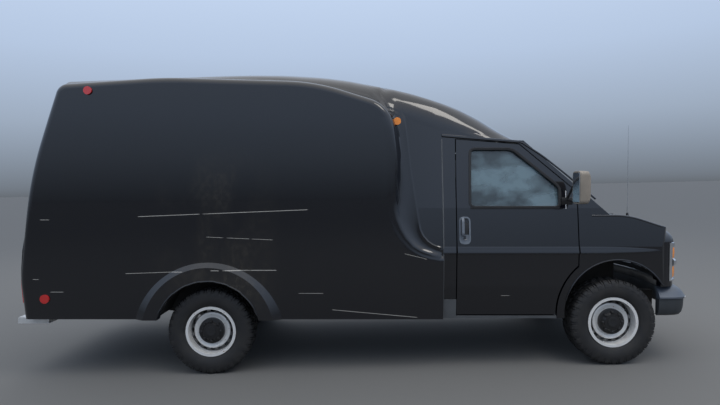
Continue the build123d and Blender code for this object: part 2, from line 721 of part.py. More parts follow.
rear_doors = {}
rear_glasses = {}
body_hinges = []
for name, side in SIDES.items():
    y0, y1 = sorted((side * REAR_MID_GAP, side * (REAR_DOOR_HALF - REAR_DOOR_GAP)))
    g0, g1 = sorted((side * REAR_GLASS_IN_Y, side * REAR_GLASS_OUT_Y))
    low = REAR_DOOR_LOW_Z + REAR_DOOR_GAP
    top = REAR_DOOR_TOP_Z - REAR_DOOR_GAP
    half_sleeve = REAR_SLEEVE / 2
    with BuildPart() as door:
        add(rear_band)
        add(block(-3100.0, -2600.0, y0, y1, low, top), mode=Mode.INTERSECT)
        add(block(-3100.0, -2600.0, g0, g1, REAR_GLASS_LOW_Z, REAR_GLASS_TOP_Z), mode=Mode.SUBTRACT)
        for hinge in REAR_HINGES:
            add(hinge_part(hinge_plane(side, hinge, -half_sleeve), -side * 70.0, REAR_SLEEVE))
            with BuildSketch(hinge_plane(side, hinge, -half_sleeve - 1.0)):
                Circle(REAR_PIN_R + PIN_CLEARANCE)
            extrude(amount=REAR_SLEEVE + 2.0, mode=Mode.SUBTRACT)
    rear_doors[name] = door
    for hinge in REAR_HINGES:
        upper = half_sleeve + REAR_LUG_GAP
        body_hinges.append(hinge_part(hinge_plane(side, hinge, upper), side * 50.0, REAR_LUG))
        body_hinges.append(hinge_part(hinge_plane(side, hinge, -upper - REAR_LUG), side * 50.0, REAR_LUG))
        with BuildPart() as pin:
            with BuildSketch(hinge_plane(side, hinge, -upper - 1.0)):
                Circle(REAR_PIN_R)
            extrude(amount=2 * upper + 2.0)
        body_hinges.append(pin.part)
    with BuildPart() as glass:
        add(rear_glass_band)
        add(
            block(
                -3100.0,
                -2600.0,
                g0 + SEAT_GAP,
                g1 - SEAT_GAP,
                REAR_GLASS_LOW_Z + SEAT_GAP,
                REAR_GLASS_TOP_Z - SEAT_GAP,
            ),
            mode=Mode.INTERSECT,
        )
    rear_glasses[name] = glass

with BuildPart() as hinged_body:
    add(body_shell.part)
    add(body_hinges)

# Ladder frame: two channel rails, crossmembers, body mounts and spring hangers
LEAF_Y = 480.0
LEAF_HALF_SPAN = 694.0
LEAF_THICK = 36.0
LEAF_WIDTH = 60.0
LEAF_SEAT_Z = REAR_HUB_Z + AXLE_TUBE_R + SEAT_GAP
CROSS_STATIONS = (-2800.0, -1950.0, -680.0, 250.0, 1080.0)
MOUNT_STATIONS = (-2600.0, -1900.0, -650.0, 250.0, 1150.0)
RAIL_REAR_X = -2870.0
RAIL_FRONT_X = 2850.0
rail_mid_x = (RAIL_REAR_X + RAIL_FRONT_X) / 2
with BuildPart() as ladder_frame:
    for side in SIDES.values():
        with BuildSketch(Plane.YZ.offset(RAIL_REAR_X)):
            with Locations((side * RAIL_Y, (RAIL_LOW_Z + RAIL_TOP_Z) / 2)):
                Rectangle(RAIL_WIDTH, RAIL_TOP_Z - RAIL_LOW_Z)
            with Locations((side * (RAIL_Y - RAIL_WALL), (RAIL_LOW_Z + RAIL_TOP_Z) / 2)):
                Rectangle(
                    RAIL_WIDTH,
                    RAIL_TOP_Z - RAIL_LOW_Z - 2 * RAIL_WALL,
                    mode=Mode.SUBTRACT,
                )
        extrude(amount=RAIL_FRONT_X - RAIL_REAR_X)
    for x in CROSS_STATIONS:
        with BuildSketch(Plane.XY.offset(CROSS_LOW_Z)):
            with Locations((x, 0)):
                Rectangle(90.0, 2 * (RAIL_Y + 30.0))
        extrude(amount=90.0)
    with BuildSketch(Plane.XY.offset(RAIL_TOP_Z - 1.0)):
        with Locations(*[(x, side * RAIL_Y) for x in MOUNT_STATIONS for side in SIDES.values()]):
            Circle(34.0)
    extrude(amount=FLOOR_TOP_Z - FLOOR_THICK - RAIL_TOP_Z + 1.0 - SEAT_GAP)
    hanger_x = [REAR_HUB_X - LEAF_HALF_SPAN + 40.0, REAR_HUB_X + LEAF_HALF_SPAN - 40.0]
    with BuildSketch(Plane.XY.offset(CROSS_LOW_Z)):
        with Locations(*[(x, side * (RAIL_Y + 70.0)) for x in hanger_x for side in SIDES.values()]):
            Rectangle(90.0, 90.0)
    extrude(amount=110.0)

# Engine and gearbox as one plain block, resting on the front crossmember
ENGINE_LOW_Z = 400.0
ENGINE_REAR_X = 1930.0
SHAFT_FRONT = (1249.0, 395.0)
DIFF_RADIUS = 145.0
with BuildPart() as engine_block:
    add(block(ENGINE_REAR_X, 2560.0, -250.0, 250.0, ENGINE_LOW_Z, 1020.0))
    add(block(SHAFT_FRONT[0] + SEAT_GAP, ENGINE_REAR_X + 1.0, -170.0, 170.0, 340.0, 600.0))

# Rear axle with its housing, drums and spindles, and the shaft that drives it
with BuildPart() as rear_axle:
    with BuildSketch(Plane.YZ.offset(REAR_HUB_X)):
        with BuildLine():
            profile = [
                (-HUB_FACE_Y - 27.0, 0.0),
                (-HUB_FACE_Y - 27.0, SPINDLE_R),
                (-WHEEL_Y + 8.0, SPINDLE_R),
                (-WHEEL_Y + 8.0, 150.0),
                (-WHEEL_Y + 90.0, 150.0),
                (-WHEEL_Y + 90.0, AXLE_TUBE_R),
                (-200.0, AXLE_TUBE_R),
                (-90.0, DIFF_RADIUS),
            ]
            spun = profile + [(-y, r) for y, r in reversed(profile)]
            Polyline(*[(y, REAR_HUB_Z + r) for y, r in spun], close=True)
        make_face()
    revolve(axis=Axis((REAR_HUB_X, 0, REAR_HUB_Z), (0, 1, 0)))

shaft_run = Vector(REAR_HUB_X + DIFF_RADIUS, 0, REAR_HUB_Z + 12.0) - Vector(SHAFT_FRONT[0], 0, SHAFT_FRONT[1])
with BuildPart() as driveshaft:
    with BuildSketch(
        Plane(origin=(SHAFT_FRONT[0], 0, SHAFT_FRONT[1]), x_dir=(0, 1, 0), z_dir=shaft_run.normalized())
    ):
        Circle(38.0)
    extrude(amount=shaft_run.length - 2.0)
    add(rear_axle.part, mode=Mode.SUBTRACT)
    add(block(SHAFT_FRONT[0], 1400.0, -100.0, 100.0, 300.0, 500.0), mode=Mode.SUBTRACT)

with BuildPart() as leaf_springs:
    for side in SIDES.values():
        with BuildSketch(Plane.XZ.offset(-side * (LEAF_Y - LEAF_WIDTH / 2))):
            with BuildLine():
                tip_z = CROSS_LOW_Z - SEAT_GAP - LEAF_THICK
                lower = ThreePointArc(
                    (REAR_HUB_X - LEAF_HALF_SPAN, tip_z),
                    (REAR_HUB_X, LEAF_SEAT_Z),
                    (REAR_HUB_X + LEAF_HALF_SPAN, tip_z),
                )
                upper = ThreePointArc(
                    (REAR_HUB_X - LEAF_HALF_SPAN, tip_z + LEAF_THICK),
                    (REAR_HUB_X, LEAF_SEAT_Z + LEAF_THICK),
                    (REAR_HUB_X + LEAF_HALF_SPAN, tip_z + LEAF_THICK),
                )
                Line(lower @ 0, upper @ 0)
                Line(lower @ 1, upper @ 1)
            make_face()
        extrude(amount=-side * LEAF_WIDTH)

# Front suspension: crossmember, towers and the two arms a side, with a pin for each ball joint
ARM_THICK = 30.0
LOWER_ARM_Z = 195.0
UPPER_ARM_Z = 523.0
BALL_PIN_R = 10.0
BALL_PIN_REACH = 30.0
with BuildPart() as front_suspension:
    add(block(2080.0, 2350.0, -460.0, 460.0, LOWER_ARM_Z + 15.0, RAIL_LOW_Z - SEAT_GAP))
    for side in SIDES.values():
        t0, t1 = sorted((side * (RAIL_Y + RAIL_WIDTH / 2 + 1.0), side * 480.0))
        add(block(2120.0, 2310.0, t0, t1, LOWER_ARM_Z + 15.0, UPPER_ARM_Z + ARM_THICK))
        for arm_z in (LOWER_ARM_Z, UPPER_ARM_Z):
            with BuildSketch(Plane.XY.offset(arm_z)):
                with BuildLine():
                    Polyline(
                        (FRONT_HUB_X - 26.0, side * KINGPIN_Y),
                        (FRONT_HUB_X + 26.0, side * KINGPIN_Y),
                        (FRONT_HUB_X + 95.0, side * 455.0),
                        (FRONT_HUB_X - 95.0, side * 455.0),
                        close=True,
                    )
                make_face()
                with Locations((FRONT_HUB_X, side * KINGPIN_Y)):
                    Circle(26.0)
                with Locations((FRONT_HUB_X, side * 540.0)):
                    Circle(32.0, mode=Mode.SUBTRACT)
            extrude(amount=ARM_THICK)
        for pin_z in (LOWER_ARM_Z + ARM_THICK, UPPER_ARM_Z - BALL_PIN_REACH):
            with BuildSketch(Plane.XY.offset(pin_z)):
                with Locations((FRONT_HUB_X, side * KINGPIN_Y)):
                    Circle(BALL_PIN_R)
            extrude(amount=BALL_PIN_REACH)

# Steering knuckles with the brake behind the wheel and the spindle
knuckles = {}
for name, side in SIDES.items():
    with BuildPart() as knuckle:
        k0, k1 = sorted((side * (KINGPIN_Y - 26.0), side * (KINGPIN_Y + 30.0)))
        add(
            block(
                FRONT_HUB_X - 28.0,
                FRONT_HUB_X + 28.0,
                k0,
                k1,
                LOWER_ARM_Z + ARM_THICK + SEAT_GAP,
                UPPER_ARM_Z - SEAT_GAP,
            )
        )
        with BuildSketch(Plane.XZ.offset(-side * KINGPIN_Y)):
            with Locations((FRONT_HUB_X, FRONT_HUB_Z)):
                Circle(60.0)
        extrude(amount=-side * (WHEEL_Y - 10.0 - KINGPIN_Y))
        with BuildSketch(Plane.XZ.offset(-side * (KINGPIN_Y + 50.0))):
            with Locations((FRONT_HUB_X, FRONT_HUB_Z)):
                Circle(150.0)
        extrude(amount=-side * (WHEEL_Y - 8.0 - KINGPIN_Y - 50.0))
        with BuildSketch(Plane.XZ.offset(-side * (WHEEL_Y - 20.0))):
            with Locations((FRONT_HUB_X, FRONT_HUB_Z)):
                Circle(SPINDLE_R)
        extrude(amount=-side * (HUB_FACE_Y + 27.0 - WHEEL_Y + 20.0))
        for bore_z in (LOWER_ARM_Z + ARM_THICK, UPPER_ARM_Z - BALL_PIN_REACH - 2.0):
            with BuildSketch(Plane.XY.offset(bore_z)):
                with Locations((FRONT_HUB_X, side * KINGPIN_Y)):
                    Circle(BALL_PIN_R + PIN_CLEARANCE)
            extrude(amount=BALL_PIN_REACH + 2.0, mode=Mode.SUBTRACT)
    knuckles[name] = knuckle

# Wheels: place of each along X and up, and its side
WHEELS = {
    "front_right": (FRONT_HUB_X, FRONT_HUB_Z, -1),
    "front_left": (FRONT_HUB_X, FRONT_HUB_Z, 1),
    "rear_right": (REAR_HUB_X, REAR_HUB_Z, -1),
    "rear_left": (REAR_HUB_X, REAR_HUB_Z, 1),
}
# Tyre section: distance outwards from the wheel's middle, radius
TYRE_SECTION = [
    (-91.7, BEAD_RADIUS + SEAT_GAP),
    (-91.7, 220.8),
    (-122.5, 262.0),
    (-122.0, 318.0),
    (-106.0, 366.0),
    (-88.0, TYRE_RADIUS),
    (88.0, TYRE_RADIUS),
    (106.0, 366.0),
    (122.0, 318.0),
    (122.5, 262.0),
    (91.7, 220.8),
    (91.7, BEAD_RADIUS + SEAT_GAP),
]
# Rim section, from the inner lip over the barrel to the outer lip, back along the disc and the cap
RIM_SECTION = [
    (-92.0, BEAD_RADIUS),
    (-92.0, 220.5),
    (-101.0, 220.5),
    (-101.0, 196.0),
    (12.0, 190.0),
    (30.0, 160.0),
    (12.0, 120.0),
    (0.0, 75.0),
    (0.0, SPINDLE_R + PIN_CLEARANCE),
    (62.0, SPINDLE_R + PIN_CLEARANCE),
    (62.0, 0.0),
    (96.0, 0.0),
    (92.0, 70.0),
    (74.0, 84.0),
    (70.0, CAP_RADIUS),
    (38.0, CAP_RADIUS + 4.0),
    (48.0, 147.0),
    (40.0, 168.0),
    (18.0, 197.0),
    (101.0, 197.0),
    (101.0, 220.5),
    (92.0, 220.5),
    (92.0, BEAD_RADIUS),
]
VENT_COUNT = 16
VENT_PITCH_RADIUS = 172.0
tyres = {}
rims = {}
for name, (hub_x, hub_z, side) in WHEELS.items():
    spin_axis = Axis((hub_x, 0, hub_z), (0, 1, 0))
    with BuildPart() as tyre:
        with BuildSketch(Plane.YZ.offset(hub_x)):
            with BuildLine():
                Polyline(*[(side * (WHEEL_Y + o), hub_z + r) for o, r in TYRE_SECTION], close=True)
            make_face()
        revolve(axis=spin_axis)
    tyres[name] = tyre
    with BuildPart() as rim:
        with BuildSketch(Plane.YZ.offset(hub_x)):
            with BuildLine():
                Polyline(*[(side * (WHEEL_Y + o), hub_z + r) for o, r in RIM_SECTION], close=True)
            make_face()
        revolve(axis=spin_axis)
        with BuildSketch(Plane.XZ.offset(-side * WHEEL_Y)):
            with Locations((hub_x, hub_z)):
                with PolarLocations(VENT_PITCH_RADIUS, VENT_COUNT):
                    SlotOverall(40.0, 20.0, rotation=90.0)
        extrude(amount=-side * 70.0, mode=Mode.SUBTRACT)
    rims[name] = rim

# Fuel tank beside the left rail, exhaust under the crossmembers
with BuildPart() as fuel_tank:
    add(block(-450.0, 560.0, RAIL_Y + RAIL_WIDTH / 2 + SEAT_GAP, 830.0, 425.0, 618.0))
    fillet(fuel_tank.edges().filter_by(Axis.X), radius=45.0)

PIPE_R = 30.0
PIPE_Y = -215.0
PIPE_Z = CROSS_LOW_Z - SEAT_GAP - PIPE_R
with BuildPart() as exhaust:
    with BuildLine() as pipe_line:
        FilletPolyline(
            (ENGINE_REAR_X - SEAT_GAP, PIPE_Y, PIPE_Z),
            (-2600.0, PIPE_Y, PIPE_Z),
            (-2740.0, PIPE_Y, PIPE_Z - 60.0),
            radius=180.0,
        )
    with BuildSketch(Plane(origin=pipe_line.line @ 0, z_dir=pipe_line.line % 0)):
        Circle(PIPE_R)
    sweep(path=pipe_line.line)
    with BuildSketch(Plane.YZ.offset(-500.0)):
        with Locations((PIPE_Y, PIPE_Z - 45.0)):
            Ellipse(110.0, 70.0)
    extrude(amount=620.0)

# Rear step bumper under the rails
STEP_REAR_X = -3046.0
STEP_FRONT_X = -2771.0
STEP_LOW_Z = 350.0
STEP_HALF = 900.0
STEP_SHEET = 6.0
PLATE_HOLE_Y = 88.9
PLATE_HOLE_R = 3.5
PLATE_HOLE_Z = 375.0
STEP_TREAD = 5.0
step_top = RAIL_LOW_Z - SEAT_GAP
with BuildPart() as rear_bumper:
    add(block(STEP_REAR_X, STEP_FRONT_X, -STEP_HALF, STEP_HALF, STEP_LOW_Z, step_top))
    add(
        block(
            STEP_REAR_X + STEP_SHEET,
            STEP_FRONT_X - STEP_SHEET,
            -STEP_HALF + STEP_SHEET,
            STEP_HALF - STEP_SHEET,
            STEP_LOW_Z - 1.0,
            step_top - STEP_SHEET,
        ),
        mode=Mode.SUBTRACT,
    )
    tread_y = STEP_HALF - 6.0
    tread_front_x = RAIL_REAR_X - 6.0
    add(block(STEP_REAR_X + 3.0, tread_front_x, -tread_y, tread_y, step_top - 2.0, step_top + STEP_TREAD))
    with BuildSketch(Plane.YZ.offset(STEP_REAR_X - 1.0)):
        with Locations((-PLATE_HOLE_Y, PLATE_HOLE_Z), (PLATE_HOLE_Y, PLATE_HOLE_Z)):
            Circle(PLATE_HOLE_R)
    extrude(amount=STEP_SHEET + 2.0, mode=Mode.SUBTRACT)

# Inside the cab: dashboard with the column, steering wheel, two seats
COLUMN_Y = 430.0
WHEEL_CENTRE = Vector(1500.0, COLUMN_Y, 1290.0)
COLUMN_DIRECTION = Vector(-0.88, 0, 0.475).normalized()
dash_outline = [
    (1853.7, 950.0),
    (1853.7, 1312.0),
    (1640.0, 1250.0),
    (1600.0, 1120.0),
    (1660.0, 950.0),
]
column_foot = WHEEL_CENTRE - COLUMN_DIRECTION * 330.0
with BuildPart() as dashboard:
    add(side_prism(dash_outline, [0, 0, 40.0, 30.0, 0], 835.0))
    with BuildSketch(Plane(origin=column_foot, z_dir=COLUMN_DIRECTION)):
        Circle(38.0)
    extrude(amount=290.0)
    with BuildSketch(Plane(origin=column_foot, z_dir=COLUMN_DIRECTION)):
        Circle(11.0)
    extrude(amount=345.0)

ring_plane = Plane(
    origin=WHEEL_CENTRE,
    x_dir=(0, 1, 0),
    z_dir=Vector(0, 1, 0).cross(COLUMN_DIRECTION),
)
with BuildPart() as steering_wheel:
    with BuildSketch(Plane(origin=WHEEL_CENTRE, x_dir=(0, 1, 0), z_dir=COLUMN_DIRECTION)):
        Circle(42.0)
        with PolarLocations(0.0, 3, start_angle=90.0):
            with Locations((95.0, 0)):
                Rectangle(175.0, 34.0)
    extrude(amount=14.0)
    with BuildSketch(ring_plane):
        with Locations((190.0, 7.0)):
            Circle(14.0)
    revolve(axis=Axis(WHEEL_CENTRE, COLUMN_DIRECTION))
    with BuildSketch(Plane(origin=WHEEL_CENTRE - COLUMN_DIRECTION * 39.0, z_dir=COLUMN_DIRECTION)):
        Circle(30.0)
    extrude(amount=40.0)
    with BuildSketch(Plane(origin=WHEEL_CENTRE - COLUMN_DIRECTION * 60.0, z_dir=COLUMN_DIRECTION)):
        Circle(11.0 + PIN_CLEARANCE)
    extrude(amount=90.0, mode=Mode.SUBTRACT)

SEAT_Y = 430.0
with BuildPart() as seats:
    for side in SIDES.values():
        s0, s1 = sorted((side * (SEAT_Y - 250.0), side * (SEAT_Y + 250.0)))
        add(block(900.0, 1390.0, s0, s1, 930.0, 1070.0))
        b0, b1 = sorted((side * (SEAT_Y - 200.0), side * (SEAT_Y + 200.0)))
        add(block(960.0, 1340.0, b0, b1, FLOOR_TOP_Z + SEAT_GAP, 931.0))
        with BuildSketch(Plane.XZ.offset(-side * (SEAT_Y - 250.0))):
            with BuildLine():
                back = [(900.0, 980.0), (1040.0, 980.0), (920.0, 1620.0), (810.0, 1620.0)]
                Polyline(*back, close=True)
            make_face()
        extrude(amount=-side * 500.0)
        with BuildSketch(Plane.XZ.offset(-side * (SEAT_Y - 140.0))):
            with BuildLine():
                rest = [(825.0, 1610.0), (905.0, 1610.0), (885.0, 1780.0), (810.0, 1780.0)]
                Polyline(*rest, close=True)
            make_face()
        extrude(amount=-side * 280.0)

# Door mirrors, each with its foot on the door
mirrors = {}
for name, side in SIDES.items():
    m0, m1 = sorted((side * 1095.0, side * 1275.0))
    a0, a1 = sorted((side * 930.0, side * 1110.0))
    with BuildPart() as mirror_head:
        add(block(1745.0, 1894.0, m0, m1, 1419.0, 1695.0))
        fillet(mirror_head.edges(), radius=38.0)
        add(block(1765.0, 1835.0, a0, a1, 1395.0, 1445.0))
        add(front_doors[name].part, mode=Mode.SUBTRACT)
        add(cab_block(10.0, 1600.0, 2000.0), mode=Mode.SUBTRACT)
    mirrors[name] = mirror_head

# Grey guards along the rockers, each with its stone guard behind the door
GUARD_PROUD = 10.0
with BuildPart() as rocker_guards:
    add(cab_block(-GUARD_PROUD, 700.0, 1900.0))
    add(cab_block(0.0, 690.0, 1910.0), mode=Mode.SUBTRACT)
    with BuildSketch(Plane.XZ):
        with Locations((1270.0, 427.0)):
            Rectangle(880.0, 22.0)
        with Locations((774.0, 500.0)):
            Rectangle(116.0, 168.0)
    extrude(amount=1200.0, both=True, mode=Mode.INTERSECT)

# Lamps that lie on the body's skin, in a band just outside it
LAMP_PROUD = 14.0
slab_band = slab_form(-LAMP_PROUD) - slab_form(0.0) - core_form(0.0)
with BuildPart() as red_lamps:
    for side in SIDES.values():
        with BuildSketch(Plane.XZ.offset(-side * 900.0)):
            with Locations((-2340.0, 2390.0)):
                Circle(35.0)
            with Locations((-2729.0, 594.0)):
                Circle(39.0)
        extrude(amount=-side * 300.0)
        l0, l1 = sorted((side * 905.0, side * 968.0))
        add(block(-3100.0, -2700.0, l0, l1, 550.0, 820.0))
    add(slab_band, mode=Mode.INTERSECT)

with BuildPart() as amber_lamps:
    add(lamp_skin)
    add(block(LAMP_REAR_X + SEAT_GAP, 3000.0, -1100.0, 1100.0, LAMP_LOW_Z, LAMP_TOP_Z), mode=Mode.INTERSECT)
    inner = AMBER_Y + SEAT_GAP
    add(block(2000.0, 3000.0, -inner, inner, 0.0, 1400.0), mode=Mode.SUBTRACT)
    for side in SIDES.values():
        with BuildSketch(Plane.XZ.offset(-side * 800.0)):
            with Locations((321.0, 2141.0)):
                Circle(33.0)
        extrude(amount=-side * 110.0)
    add(core_form(0.0), mode=Mode.SUBTRACT)

# Stance: nose low on four equal tyres, then centred along its length
RAKE = math.degrees(math.atan2(FRONT_HUB_Z - REAR_HUB_Z, WHEELBASE))
tilt = Location((0, 0, 0), (0, RAKE, 0))
tilted_hub = (tilt * Pos(FRONT_HUB_X, 0, FRONT_HUB_Z)).position
STANCE = Pos(-10.0, 0, TYRE_RADIUS - tilted_hub.Z) * tilt

pieces = {
    "body_shell": hinged_body,
    "body_floor": body_floor,
    "cab_shell": cab_shell,
    "hood": hood,
    "windshield": windshield,
    "headlamps": headlamps,
    "grille": grille,
    "front_bumper": front_bumper,
    "ladder_frame": ladder_frame,
    "engine_block": engine_block,
    "rear_axle": rear_axle,
    "driveshaft": driveshaft,
    "leaf_springs": leaf_springs,
    "front_suspension": front_suspension,
    "fuel_tank": fuel_tank,
    "exhaust": exhaust,
    "rear_bumper": rear_bumper,
    "dashboard": dashboard,
    "steering_wheel": steering_wheel,
    "seats": seats,
    "rocker_guards": rocker_guards,
    "red_lamps": red_lamps,
    "amber_lamps": amber_lamps,
}
for name in SIDES:
    pieces["fender_" + name] = fenders[name]
    pieces["front_door_" + name] = front_doors[name]
    pieces["door_glass_" + name] = door_glasses[name]
    pieces["rear_door_" + name] = rear_doors[name]
    pieces["rear_glass_" + name] = rear_glasses[name]
    pieces["mirror_" + name] = mirrors[name]
    pieces["knuckle_" + name] = knuckles[name]
for name in WHEELS:
    pieces["tyre_" + name] = tyres[name]
    pieces["rim_" + name] = rims[name]

for label, piece in pieces.items():
    placed = piece.part.moved(STANCE)
    placed.label = label
    export_step(placed, "parts/" + label + ".step")
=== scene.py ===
import math

import bmesh
import bpy
from mathutils import Matrix, Vector


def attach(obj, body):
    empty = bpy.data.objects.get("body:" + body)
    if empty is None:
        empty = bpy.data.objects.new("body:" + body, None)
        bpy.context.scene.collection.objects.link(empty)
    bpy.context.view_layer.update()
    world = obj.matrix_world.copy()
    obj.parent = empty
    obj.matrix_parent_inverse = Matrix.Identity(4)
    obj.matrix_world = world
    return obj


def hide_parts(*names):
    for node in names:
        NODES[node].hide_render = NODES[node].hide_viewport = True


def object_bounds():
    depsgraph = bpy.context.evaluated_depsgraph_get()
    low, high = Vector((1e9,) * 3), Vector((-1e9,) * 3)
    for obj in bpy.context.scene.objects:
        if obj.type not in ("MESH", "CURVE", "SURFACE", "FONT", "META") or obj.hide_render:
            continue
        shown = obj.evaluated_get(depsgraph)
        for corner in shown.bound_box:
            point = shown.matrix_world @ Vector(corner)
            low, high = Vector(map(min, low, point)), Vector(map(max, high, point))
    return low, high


bl_info = {
    "name": "Camper van",
    "version": (1, 0, 0),
    "blender": (4, 5, 0),
    "location": "3D View > Sidebar > Camper van",
    "description": "Dresses the packed camper van: paint, glass, tyres, lamps, trim and cabin",
    "category": "Object",
}

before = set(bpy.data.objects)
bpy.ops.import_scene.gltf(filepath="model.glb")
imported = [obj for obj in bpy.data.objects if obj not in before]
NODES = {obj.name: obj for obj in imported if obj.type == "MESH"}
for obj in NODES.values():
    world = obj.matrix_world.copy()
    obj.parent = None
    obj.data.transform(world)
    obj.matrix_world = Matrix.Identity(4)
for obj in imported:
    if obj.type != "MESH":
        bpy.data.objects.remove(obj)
CAD_BOX = [list(corner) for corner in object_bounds()]
MM = 1000

# The van is drawn level, in millimetres, as its source is, and set down nose low on its tyres
WHEELBASE = 3531
NOSE_DROP = 82
TYRE_RADIUS = 375
AXLES = {"front": (2215, TYRE_RADIUS), "rear": (-1316, TYRE_RADIUS - NOSE_DROP)}
WHEEL_Y = 864
RAKE = math.atan2(NOSE_DROP, WHEELBASE)
RAKE_COS = math.cos(RAKE)
RAKE_SIN = math.sin(RAKE)
LIFT = TYRE_RADIUS + AXLES["front"][0] * RAKE_SIN - TYRE_RADIUS * RAKE_COS
SHIFT = -10
SIDES = {"right": -1, "left": 1}
# Side and hub of each wheel
WHEELS = {
    end + "_" + name: (side, (x, side * WHEEL_Y, z))
    for end, (x, z) in AXLES.items() for name, side in SIDES.items()
}

# Half-width of the cab's skin: height and half-width
CAB_SECTION = [(395, 965), (700, 996), (987, 1006), (1047, 1006), (1379, 965), (2000, 850), (2270, 800)]
# Front door's window, x and z
DOOR_WINDOW = [(952, 1385), (967, 1900), (1341, 1900), (1748, 1560), (1738, 1385)]
SHELL = ["body_shell"]
# Distance from the middle from which the side's skin is looked for, well outside the van
OUTSIDE = 1400


def row(point):
    """Point of the level drawing, in millimetres, as a point of the row's frame in metres."""
    x, y, z = point
    return Vector((
        (x * RAKE_COS + z * RAKE_SIN + SHIFT) / MM,
        y / MM,
        (-x * RAKE_SIN + z * RAKE_COS + LIFT) / MM,
    ))


def lean(direction):
    """Direction of the level drawing in the row's frame."""
    x, y, z = direction
    return Vector((x * RAKE_COS + z * RAKE_SIN, y, -x * RAKE_SIN + z * RAKE_COS))


def level(point):
    """Point of the row's frame, in metres, back in the level drawing's millimetres."""
    x = point[0] * MM - SHIFT
    z = point[2] * MM - LIFT
    return (x * RAKE_COS - z * RAKE_SIN, point[1] * MM, x * RAKE_SIN + z * RAKE_COS)


def along(table, place):
    """Value of a two-column table at a place."""
    for (x0, v0), (x1, v1) in zip(table, table[1:]):
        if place <= x1:
            return v0 + (v1 - v0) * max(0, place - x0) / (x1 - x0)
    return table[-1][1]


def skin_y(z):
    """Half-width of the cab's skin at a height."""
    return along(CAB_SECTION, z)


def hit(names, start, aim):
    """First point of the named nodes on the way from one drawing point to another, or None."""
    origin = row(start)
    way = (row(aim) - origin).normalized()
    best = None
    for name in names:
        found, place = NODES[name].ray_cast(origin, way)[:2]
        if found and (best is None or (place - origin).length < (best - origin).length):
            best = place
    return level(best) if best is not None else None


def side_y(names, side, x, z, fallback=None):
    """Half-width of the nodes' outer face at a place of the side view."""
    found = hit(names, (x, side * OUTSIDE, z), (x, 0, z))
    return abs(found[1]) if found else fallback


# Materials


class Value:
    """Number or vector on a socket, with Python's operators for the shader's maths."""

    def __init__(self, maker, socket):
        self.maker = maker
        self.socket = socket

    def math(self, operation, *others, clamp=False):
        """Result of a maths node on this value."""
        settings = {"operation": operation, "use_clamp": clamp}
        return self.maker.node("ShaderNodeMath", settings, 0, self, *others)

    def __add__(self, other):
        return self.math("ADD", other)

    __radd__ = __add__

    def __sub__(self, other):
        return self.math("SUBTRACT", other)

    def __rsub__(self, other):
        return self.maker.node("ShaderNodeMath", {"operation": "SUBTRACT"}, 0, other, self)

    def __mul__(self, other):
        return self.math("MULTIPLY", other)

    __rmul__ = __mul__

    def __truediv__(self, other):
        return self.math("DIVIDE", other)

    def clamp(self):
        return self.math("ADD", 0.0, clamp=True)

    def power(self, exponent):
        return self.math("POWER", exponent)

    def size(self):
        return self.math("ABSOLUTE")

    def over(self, threshold, softness):
        """0 below the threshold, 1 above it, with a soft step."""
        return ((self - threshold) / softness).clamp()

    def near(self, centre, half, threshold, softness):
        """1 within a share of half a width on either side of a place, 0 outside it, with a soft step."""
        return 1.0 - ((self - centre) / half).size().over(threshold, softness)


class Finish:
    """One material and its nodes."""

    def __init__(self, name):
        self.material = bpy.data.materials.new(name)
        self.material.use_nodes = True
        self.tree = self.material.node_tree
        self.shader = self.tree.nodes["Principled BSDF"]
        self._place = None

    def put(self, socket, value):
        """Links a value to a socket, or sets it there."""
        if isinstance(value, Value):
            self.tree.links.new(value.socket, socket)
        elif hasattr(value, "__len__") and len(value) == 3 and socket.type == "RGBA":
            socket.default_value = (*value, 1.0)
        else:
            socket.default_value = value

    def node(self, kind, settings, output, *inputs, **named):
        """Output of a new node, with its inputs given in order or by name."""
        node = self.tree.nodes.new(kind)
        for key, setting in settings.items():
            setattr(node, key, setting)
        for socket, value in zip(node.inputs, inputs):
            self.put(socket, value)
        for key, value in named.items():
            self.put(node.inputs[key.replace("_", " ")], value)
        return Value(self, node.outputs[output])

    def place(self):
        """Object coordinates, from one node."""
        if self._place is None:
            self._place = self.node("ShaderNodeTexCoord", {}, "Object")
        return self._place

    def axes(self):
        """The three Object coordinates, each as a value."""
        split = self.tree.nodes.new("ShaderNodeSeparateXYZ")
        self.put(split.inputs[0], self.place())
        return [Value(self, split.outputs[axis]) for axis in range(3)]

    def noise(self, scale, detail, stretch=None):
        """Noise over the Object coordinates, which may be stretched first."""
        place = self.place()
        if stretch:
            place = self.node("ShaderNodeVectorMath", {"operation": "MULTIPLY"}, 0, place, stretch)
        return self.node("ShaderNodeTexNoise", {}, 0, Vector=place, Scale=scale, Detail=detail)

    def mix(self, low, high, share):
        """Colour between two, by a share."""
        node = self.tree.nodes.new("ShaderNodeMix")
        node.data_type = "RGBA"
        self.put(node.inputs["Factor"], share)
        self.put(node.inputs[6], low)
        self.put(node.inputs[7], high)
        return Value(self, node.outputs[2])

    def set(self, **sockets):
        """Puts values on the shader's sockets."""
        for key, value in sockets.items():
            self.put(self.shader.inputs[key.replace("_", " ")], value)
        return self

    def bump(self, height, strength, distance):
        """Relief of a height value, in metres."""
        relief = self.node("ShaderNodeBump", {}, 0, Height=height, Strength=strength, Distance=distance)
        return self.set(Normal=relief)


# Pale scratches on the right side, read from the photo: x from, x to, height at each, half-thickness
SCRATCHES = [
    (-1913, -450, 1308, 1368, 3.0),
    (-2030, -1518, 816, 834, 2.5),
    (-1290, -722, 845, 845, 3.5),
    (-1330, -750, 1133, 1108, 2.0),
    (-540, -320, 644, 644, 2.0),
    (-250, 495, 500, 432, 2.5),
    (374, 574, 990, 940, 2.0),
    (-2755, -2668, 1280, 1280, 2.5),
    (-2832, -2772, 765, 765, 2.5),
    (-2685, -2563, 655, 655, 2.5),
    (1218, 1304, 617, 617, 2.0),
]


